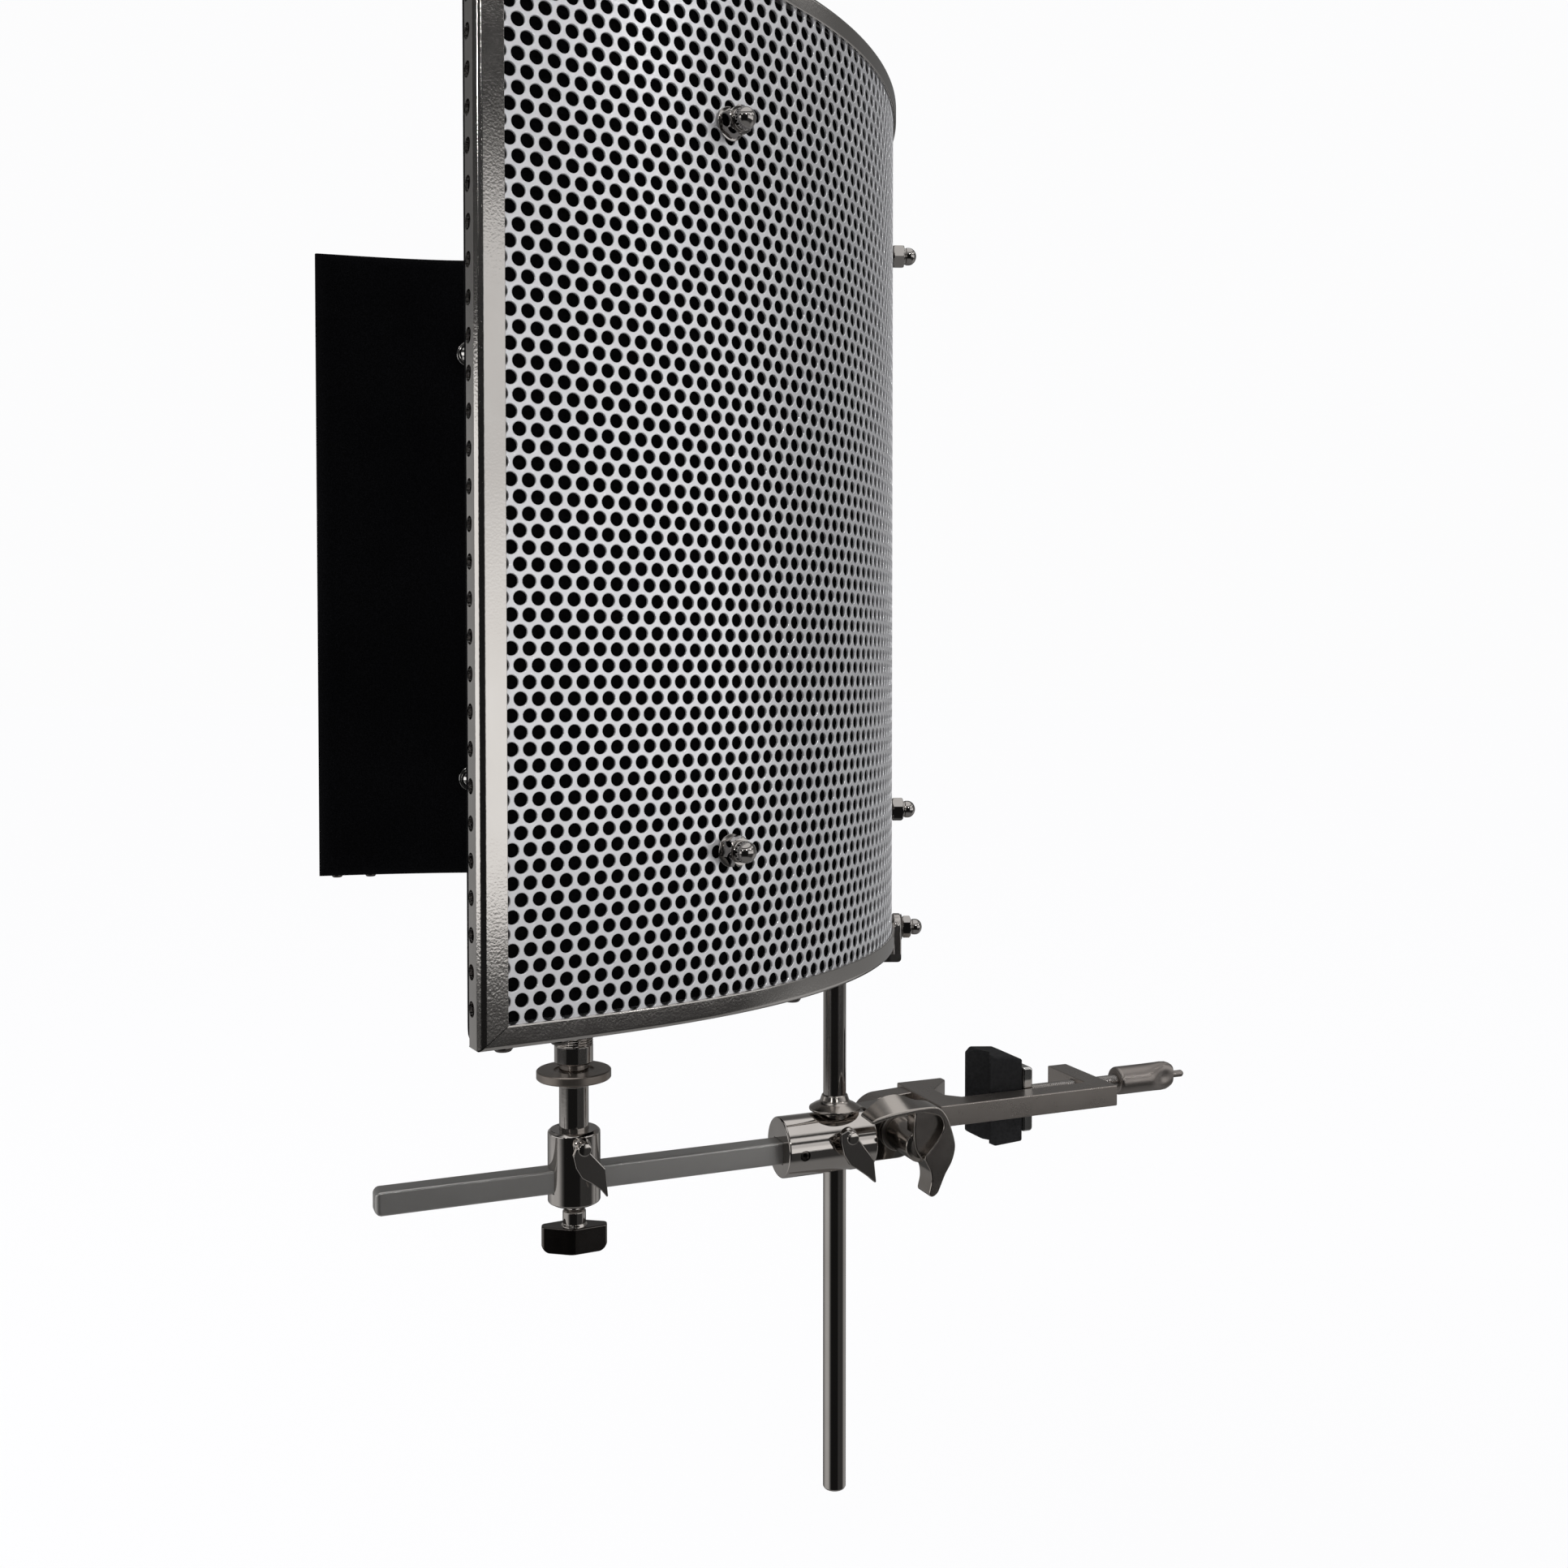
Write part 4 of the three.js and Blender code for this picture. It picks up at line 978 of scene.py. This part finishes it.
def thumb_screw(node, y, z, tip, collar, hub, blade):
    """Screw along x with a flat blade. tip, collar and hub are x positions."""
    shaft = [(0, tip, 0), (2.0, tip, 0.4), (2.0, collar, 0), (3.6, collar, 0.3),
             (3.6, collar + 2.0, 0.4), (3.0, collar + 2.4, 0.3), (3.0, hub - 0.9, 0.3),
             (2.6, hub + 0.3, 0.6), (0, hub + 0.5, 0)]
    outline = np.array(rounded(blade)) + np.array([y, z])
    parts = joined([lathe(shaft, X, (0, y, z), 56),
                    slab(outline, hub - 2.7, hub - 0.2, IN_YZ, 0.45)])
    give(add(f"{node}_cast", *parts, angle=34), node)


thumb_screw("rod_thumb_screw", ROD_Y, -96.5, tip=5.3, collar=13.3, hub=19.4, blade=ROD_BLADE)
thumb_screw("mic_thumb_screw", POST_Y, MIC_SCREW_Z, tip=6.4, collar=11.05, hub=17.3,
            blade=MIC_BLADE)

# ---------------------------------------------------------------- microphone post
block = add("mic_post_block_turned", *lathe(
    [(0, -114.4, 0), (8.9, -114.4, 0.4), (10.7, -113.4, 0.9), (10.7, -85.0, 0.9),
     (9.6, -84.0, 0.4), (0, -84.0, 0)], Z, POST, 128, 5), angle=32)
cut_bar_channel(block, 4.9, POST_Y - 20, POST_Y + 20)
drill(block, Z, POST, 6.1, -98.9, -80, 64)
drill(block, X, (0, POST_Y, MIC_SCREW_Z), 2.3, 5, 20)
drill(block, Z, POST, 2.8, -120, -106)
give(block, "mic_post_block")

neck = lathe([(0, -98.4, 0), (6.0, -98.4, 0.6), (6.0, -66.2, 0.2), (6.9, -65.8, 0.3),
              (6.9, -63.5, 0.2), (3.8, -63.5, 0), (3.8, -47.4, 0.3), (0, -47.2, 0)],
             Z, POST, 96)
give(add("mic_post_neck_turned", *neck, angle=35), "mic_post_neck")

DISC_Z, DISC_T = -63.4, 3.7
DISC_TOP = DISC_Z + DISC_T
disc = lathe([(4.1, DISC_Z, 0), (14.7, DISC_Z, 0.2), (15.2, DISC_Z + 0.5, 0.2),
              (15.2, DISC_TOP - 0.4, 0.2), (14.8, DISC_TOP, 0.2), (8.15, DISC_TOP, 0.1),
              (8.15, DISC_TOP - 0.5, 0), (4.1, DISC_TOP - 0.5, 0)], Z, POST, 128)
give(add("mic_seat_disc_turned", *disc, angle=35), "mic_seat_disc", "disc")

STUD_R = 7.9
stud = joined([
    lathe([(0, DISC_TOP - 0.35, 0), (6.0, DISC_TOP - 0.35, 0), (6.0, -57.0, 0.3),
           (7.5, -56.8, 0.1), (STUD_R, -56.3, 0.2), (STUD_R, -49.6, 0.3), (7.2, -49.2, 0),
           (0, -49.2, 0)], Z, POST, 96),
    thread(STUD_R, 0.55, 0.94, -50.2, -44.0, Z, POST, 64)])
give(add("mic_thread_stud_cut", *stud, angle=50), "mic_thread_stud")


def lock_knob():
    """Knob under the post: a long lozenge with rounded tips and lower corners, and its hub."""
    along, across = np.array([0.254, 0.967, 0.0]), np.array([0.967, -0.254, 0.0])
    lozenge = rounded([(-13.3, -2.2, 1.9), (-0.7, -6.8, 5.0), (13.3, -2.2, 1.9),
                       (13.3, 2.2, 1.9), (-0.7, 6.8, 5.0), (-13.3, 2.2, 1.9)], 8)
    knob = add("mic_lock_knob_cast", *slab(
        lozenge, -134.2, -123.6, placer(POST, along, across, Z), 0.5, 4), angle=36)
    side = rounded([(-13.6, -115, 0), (-13.6, -134.3, 4.6), (13.6, -134.3, 4.6),
                    (13.6, -115, 0)], 8)
    trim = slab(side, -12, 12, placer(POST, along, Z, across), 0.01, 1)
    boolean(knob, add("cut", *trim), "INTERSECT")
    hub = add("hub", *lathe([
        (0, -125, 0), (5.6, -125, 0), (5.3, -123.4, 0.4), (4.75, -122.6, 0.4),
        (4.75, -117.8, 0.5), (4.1, -117.2, 0.2), (2.9, -117.1, 0.1), (2.6, -116.6, 0),
        (2.5, -109.2, 0.3), (0, -109.1, 0)], Z, POST, 72), angle=36)
    give(hub, "mic_lock_knob", "nickel")
    hub.name = "mic_lock_knob_hub_turned"
    bevel = knob.modifiers.new("r", "BEVEL")
    bevel.width = 0.3 * 0.001
    bevel.segments = 2
    bevel.limit_method = "ANGLE"
    bevel.angle_limit = math.radians(34)
    bevel.use_clamp_overlap = True
    bake_modifiers(knob, 40)
    weighted_normals(knob, 80)
    give(knob, "mic_lock_knob")


lock_knob()

# ---------------------------------------------------------------- clamp frame
FRAME_X = 21.5                        # half width
FRAME_Y0, FRAME_Y1 = 235.5, 326.6
ARM, SIDE = 10.4, 10.8                # widths of the +y arm and of the +x side
SIDE_X, ARM_Y = FRAME_X - SIDE, FRAME_Y1 - ARM
LAND_Y, LAND_X = 246.0, 5.0           # flat middle of the mouth, and its half width
PRONG_Y = 258.5                       # end of the -x prong

# (x, y, fillet)
outline = rounded([
    (-FRAME_X, FRAME_Y0, 0.8), (FRAME_X, FRAME_Y0, 0.6), (FRAME_X, FRAME_Y1, 0.6),
    (-FRAME_X, FRAME_Y1, 0.8), (-FRAME_X, ARM_Y, 0.8), (SIDE_X, ARM_Y, 0.8),
    (SIDE_X, LAND_Y + (SIDE_X - LAND_X), 0.6), (LAND_X, LAND_Y, 0.4), (-LAND_X, LAND_Y, 0.4),
    (-LAND_X - (PRONG_Y - LAND_Y), PRONG_Y, 0.8), (-FRAME_X, PRONG_Y, 0.8)], 3)
clamp = add("clamp_frame_milled", *slab(outline, -95.8, -86.5, IN_XY, 0.45), angle=32)
lug = [(FRAME_Y0 + 1.5, -107.0), (FRAME_Y0 + 1.5, -87.2), (TILT_Y, TILT_Z + LUG_R),
       *lug_arc(math.pi / 2, 3 * math.pi / 2)[1:-1], (TILT_Y, TILT_Z - LUG_R),
       (TILT_Y + 8.5, TILT_Z - LUG_R * 0.82)]
boolean(clamp, add("lug", *slab(lug, -17.4, -6.4, IN_YZ, 0.6), angle=32), "UNION")
drill(clamp, X, TILT, 4.25, -30, 0)
drill(clamp, Y, SCREW, 3.25, ARM_Y - 3, FRAME_Y1 + 3)
give(clamp, "clamp_frame", "milled")

# ---------------------------------------------------------------- tilt bolt, washer and nut
bolt = joined([
    loft(hex_rings(6.5, -22.6, -17.8, placer(TILT, Y, Z, X))),
    lathe([(0, -18.5, 0), (4.0, -18.5, 0), (4.0, 27.0, 0.6), (0, 27.2, 0)], X, TILT, 64)])
give(add("tilt_bolt_hexhead", *bolt, angle=26), "tilt_bolt")
washer = lathe([(4.3, 6.45, 0.1), (8.2, 6.45, 0.3), (8.2, 7.85, 0.3), (4.3, 7.85, 0.1)],
               X, TILT, 72, 3)
give(add("tilt_washer_pressed", *washer, angle=35), "tilt_washer")

# outlines (y, z) from the tilt axis
CRESCENT = [
    (-24.9, 14.8), (-18.2, 16.3), (-8.5, 17.3), (-1.6, 17.7), (5.6, 17.2), (9.5, 13.5),
    (11.7, 8.4), (13.5, 2.4), (13.8, -1.6), (12.3, -6.8), (9.2, -11.9), (6.9, -16.8),
    (5.4, -19.6), (3.0, -20.9), (1.4, -19.6), (2.4, -14.6), (2.0, -10.2), (0.2, -6.6),
    (-0.6, -3.6), (2.3, -0.3), (6.1, 4.1), (8.0, 7.3), (8.2, 10.1), (6.6, 12.9),
    (3.0, 14.5), (-1.6, 15.5), (-8.5, 15.4), (-18.2, 14.4), (-24.8, 13.1)]
WEB = [
    (-2.5, 15.8), (5.0, 16.2), (9.2, 12.8), (11.2, 8.0), (12.9, 2.2), (13.0, -1.8),
    (11.4, -6.8), (7.5, -10.4), (2.5, -9.2), (-0.5, -5.5), (-3.5, 0.0), (-4.0, 9.0)]
NUT_OUT_X = 34.0


def lean(a, b, h):
    """Placer that lifts the upper wing, most on the side towards the frame."""
    y, z = a - TILT_Y, b - TILT_Z
    t = np.clip((z - 9) / 4, 0, 1)
    lift = 4.9 * np.exp(-(np.abs(y + 12.5) / 9.5) ** 2.6) * t * t * (3 - 2 * t)
    return np.stack([h, a, b + lift * (NUT_OUT_X - h) / 11.5], -1)


def about_tilt(points):
    return smooth_outline([(y + TILT_Y, z + TILT_Z) for y, z in points])


wing_nut = joined([
    slab(about_tilt(CRESCENT), 22.6, NUT_OUT_X, lean, 0.6, 4),
    lathe([(0, 27.6, 0), (4.3, 27.6, 0), (4.3, 8.1, 0), (7.2, 8.1, 0.5), (7.2, 29.0, 0.9),
           (5.2, 29.7, 0.5), (0, 29.9, 0)], X, TILT, 80),
    slab(about_tilt(WEB), 23.2, 30.6, IN_YZ, 0.7)])
give(add("tilt_wing_nut_cast", *wing_nut, angle=36), "tilt_wing_nut", "cast")

# ---------------------------------------------------------------- moving jaw
PAD_Y0, PAD_Y1, PLATE_Y1 = 266.0, 283.8, 289.2
PLATE_Y0 = PAD_Y1 + 0.25
outline = rounded([
    (PAD_Y0, -109.4, 1.2), (PAD_Y0 + 4, -111.4, 2.0), (PAD_Y1, -110.6, 1.0),
    (PAD_Y1, -73.4, 1.0), (PAD_Y1 - 4, -71.6, 2.0), (PAD_Y0 + 2.5, -70.6, 2.0),
    (PAD_Y0, -73, 1.2)])
pad = add("jaw_pad_moulded", *slab(outline, -13, 9.6, IN_YZ, 1.2, 4), angle=34)
vee = [(-11.83, PAD_Y0 - 1), (11.83, PAD_Y0 - 1), (0, PAD_Y0 + 5.83)]
boolean(pad, add("cut", *slab(vee, -130, -50, IN_XY, 0.01, 1)))
give(pad, "jaw_pad")

outline = rounded([(PLATE_Y0, -106.4, 0.6), (PLATE_Y1, -106.4, 1.6), (PLATE_Y1, -77.2, 1.6),
                   (PLATE_Y0, -77.2, 0.6)])
plate = add("jaw_plate_pressed", *slab(outline, -11, 9.4, IN_YZ, 0.9, 4), angle=34)
plate_boss = lathe([(0, PLATE_Y1 - 1, 0), (7, PLATE_Y1 - 1, 0), (7, PLATE_Y1 + 3.4, 0.8),
                    (0, PLATE_Y1 + 3.4, 0)], Y, SCREW, 64)
boolean(plate, add("boss", *plate_boss, angle=34), "UNION")
drill(plate, Y, SCREW, 3.3, PLATE_Y1 + 0.4, PLATE_Y1 + 6)
give(plate, "jaw_plate", "bright")

screw = thread(3.0, 0.42, 1.0, PLATE_Y1 + 0.9, 341.0, Y, SCREW, 40)
give(add("clamp_screw_threaded", *screw, angle=50), "clamp_screw")

# ---------------------------------------------------------------- clamp handle
# y, half width in x, half width in z, superellipse exponent
HANDLE = [
    (339.6, 5.1, 5.1, 2), (339.75, 5.6, 5.6, 2), (340.2, 6.1, 6.1, 2), (340.9, 6.45, 6.45, 2),
    (341.6, 6.5, 6.5, 2), (352, 6.5, 6.5, 2), (355.5, 6.45, 6.5, 2), (358, 6.05, 6.55, 2.05),
    (360.5, 5.2, 6.6, 2.15), (363, 4.15, 6.7, 2.3), (365.5, 3.15, 6.8, 2.5),
    (368, 2.4, 6.6, 2.8), (370, 2.05, 5.9, 2.8), (371.6, 1.85, 4.9, 2.7),
    (372.3, 1.6, 4.1, 2.6), (372.6, 1.1, 3.4, 2.4)]


def handle():
    """Round handle pinched flat towards +y, with a nib at its end."""
    angles = circle_angles(96)
    cos, sin = np.cos(angles), np.sin(angles)
    rings = []
    for y, half_x, half_z, power in HANDLE:
        x = half_x * np.sign(cos) * np.abs(cos) ** (2 / power)
        z = half_z * np.sign(sin) * np.abs(sin) ** (2 / power)
        # crimp in the middle of the flattened part
        x = x * (1 - 0.3 * math.exp(-((y - 365) / 3.2) ** 2) * np.exp(-(z / 2.6) ** 2))
        rings.append(np.stack([x, np.full(96, y), z + SCREW_Z], -1))
    grip = add("clamp_handle_pinched", *loft(rings), angle=36)
    drill(grip, Y, SCREW, 3.15, 335, 341.4, 40)
    nib = lathe([(0, 369, 0), (1.6, 369, 0), (1.6, 377.6, 0.6), (0.9, 378.5, 0.4),
                 (0, 378.6, 0)], Y, SCREW, 40, 3)
    boolean(grip, add("nib", *nib, angle=36), "UNION")
    return grip


give(handle(), "clamp_handle", "handle")

# ---------------------------------------------------------------- floor and camera (metres)
FLOOR_DROP = 0.19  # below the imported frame
bpy.ops.mesh.primitive_plane_add(size=60, location=(0, 0, CAD_BOX[0][2] - FLOOR_DROP))
floor = bpy.context.object
floor.name = "floor"
surface = Surface("floor")
surface.set(Base_Color=(0.22, 0.22, 0.22), Roughness=0.9, Specular_IOR_Level=0.0,
            Emission_Color=(0.98, 0.98, 0.985), Emission_Strength=0.775)
floor.data.materials.append(surface.material)
floor.visible_glossy = False


def aim(obj, location, direction):
    obj.location = location
    obj.rotation_mode = "QUATERNION"
    obj.rotation_quaternion = direction.to_track_quat("-Z", "Y")


VIEW = Vector((-0.92405, 0.38140, -0.02493))  # the way the camera looks
camera = bpy.data.objects.new("camera", bpy.data.cameras.new("camera"))
SCENE.collection.objects.link(camera)
aim(camera, (0.61134, -0.32776, 0.19109), VIEW)
camera.data.sensor_width = 36.0
camera.data.lens = 35.446
camera.data.shift_y = -0.04375
camera.data.clip_start = 0.01
SCENE.camera = camera

# ---------------------------------------------------------------- world
# Patches of the studio that reflections see, each laid over the ones before. Degrees, where
# azimuth 0 points to the camera and grows to its right: azimuth from, to, elevation from, to,
# brightness, softness in azimuth, in elevation.
PATCHES = [
    (98, 400, -60, 75, 0.20, 12, 12),      # far right: mid grey
    (-400, -108, -60, 75, 0.28, 10, 12),   # far left
    (112, 400, 11, 42, 0.13, 12, 4),       # dimmer above the horizon there
    (-400, -114, 11, 42, 0.13, 10, 4),
    (38, 95, -9.5, 16.5, 1.15, 5, 1.2),    # long soft panel to the right of the camera
    (38, 95, 5, 16.5, 0.82, 5, 4),         # fading upwards
    (98, 142, -42, -13.5, 0.42, 14, 2),    # low cards: light edges on upright cylinders
    (-116, -54, -42, -15.5, 0.58, 15, 1.5),
    (150, 400, -42, -15.5, 0.07, 8, 2),    # low and dark on the far side
    (-400, -145, -42, -15.5, 0.07, 6, 2),
    (-105, -39, -9.5, 11, 1.2, 3, 1.2),    # long panel on the left
    (-37, 34, -34, 13, 0.012, 3, 4),       # dark behind the camera
    (30, 118, 26, 39, 1.0, 9, 2.5),        # panel above the right one
    (-60, 30, 30, 37, 0.85, 12, 2.0),
    (-80, 215, 48, 78, 1.0, 16, 5.0),      # overhead panel
    (-400, 400, 66, 100, 1.0, 10, 5.0),
    (17, 21, 24, 28, 38.0, 1.2, 1.2),      # small lamps that put sparks on the domes
    (-28, -25, 20, 23, 30.0, 1.2, 1.2),
    (66, 69, 24, 27, 30.0, 1.2, 1.2),
    (-400, 400, -90, -42, 0.25, 10, 8),    # the pale floor
]


class Studio(Graph):
    """World tree with the reflected studio."""

    def dot(self, vector, axis):
        node = self.node("ShaderNodeVectorMath")
        node.operation = "DOT_PRODUCT"
        self.feed(node.inputs[0], vector)
        node.inputs[1].default_value = axis
        return node.outputs["Value"]

    def window(self, value, low, high, softness):
        """1 between low and high, with soft borders."""
        rise, fall = (self.remap(value, limit - softness, limit + softness, kind="SMOOTHSTEP")
                      for limit in (low, high))
        return self.math("MULTIPLY", rise, self.math("SUBTRACT", 1.0, fall))

    def reflections(self):
        coords = self.node("ShaderNodeTexCoord")
        ray = self.node("ShaderNodeVectorMath")
        ray.operation = "NORMALIZE"
        self.feed(ray.inputs[0], coords.outputs["Generated"])
        ray = ray.outputs[0]
        angle = math.atan2(-VIEW.y, -VIEW.x)
        forward = self.dot(ray, (math.cos(angle), math.sin(angle), 0))
        side = self.dot(ray, (-math.sin(angle), math.cos(angle), 0))
        up = self.dot(ray, (0, 0, 1))
        degrees = 180 / math.pi
        azimuth = self.math("MULTIPLY", self.math("ARCTAN2", side, forward), degrees)
        elevation = self.math("MULTIPLY", self.math("ARCSINE", up), degrees)
        color = (0.05, 0.05, 0.05)
        for az0, az1, el0, el1, brightness, az_soft, el_soft in PATCHES:
            mask = self.math("MULTIPLY", self.window(azimuth, az0, az1, az_soft),
                             self.window(elevation, el0, el1, el_soft))
            color = self.mix(mask, color, (brightness, brightness, brightness))
        return color


world = bpy.data.worlds.new("studio")
SCENE.world = world
world.use_nodes = True
studio = Studio(world.node_tree)
output = studio.node("ShaderNodeOutputWorld")
background = studio.node("ShaderNodeBackground", Strength=1.0)
studio.feed(output.inputs[0], background.outputs[0])
reflected = studio.reflections()
path = studio.node("ShaderNodeLightPath")
# diffuse light, the reflections and the backdrop each have their own colour
color = studio.mix(path.outputs["Is Glossy Ray"], (0.98, 0.98, 1.0), reflected)
color = studio.mix(path.outputs["Is Camera Ray"], color, (0.975, 0.975, 0.98))
studio.feed(background.inputs[0], color)

# ---------------------------------------------------------------- light and render settings
KEY_FROM, KEY_TO = Vector((0.2, -1.2, 1.5)), Vector((0, 0, 0.1))
light = bpy.data.lights.new("key_softbox", "AREA")
light.energy = 6.0
light.size = 1.2
key = bpy.data.objects.new("key_softbox", light)
SCENE.collection.objects.link(key)
aim(key, KEY_FROM, KEY_TO - KEY_FROM)
key.visible_camera = False
key.visible_glossy = False

SCENE.view_settings.view_transform = "Standard"
SCENE.view_settings.look = "None"
SCENE.view_settings.exposure = 0.0
SCENE.cycles.max_bounces = 8
SCENE.cycles.glossy_bounces = 5
SCENE.cycles.diffuse_bounces = 2
SCENE.cycles.sample_clamp_indirect = 6.0

bpy.context.view_layer.update()
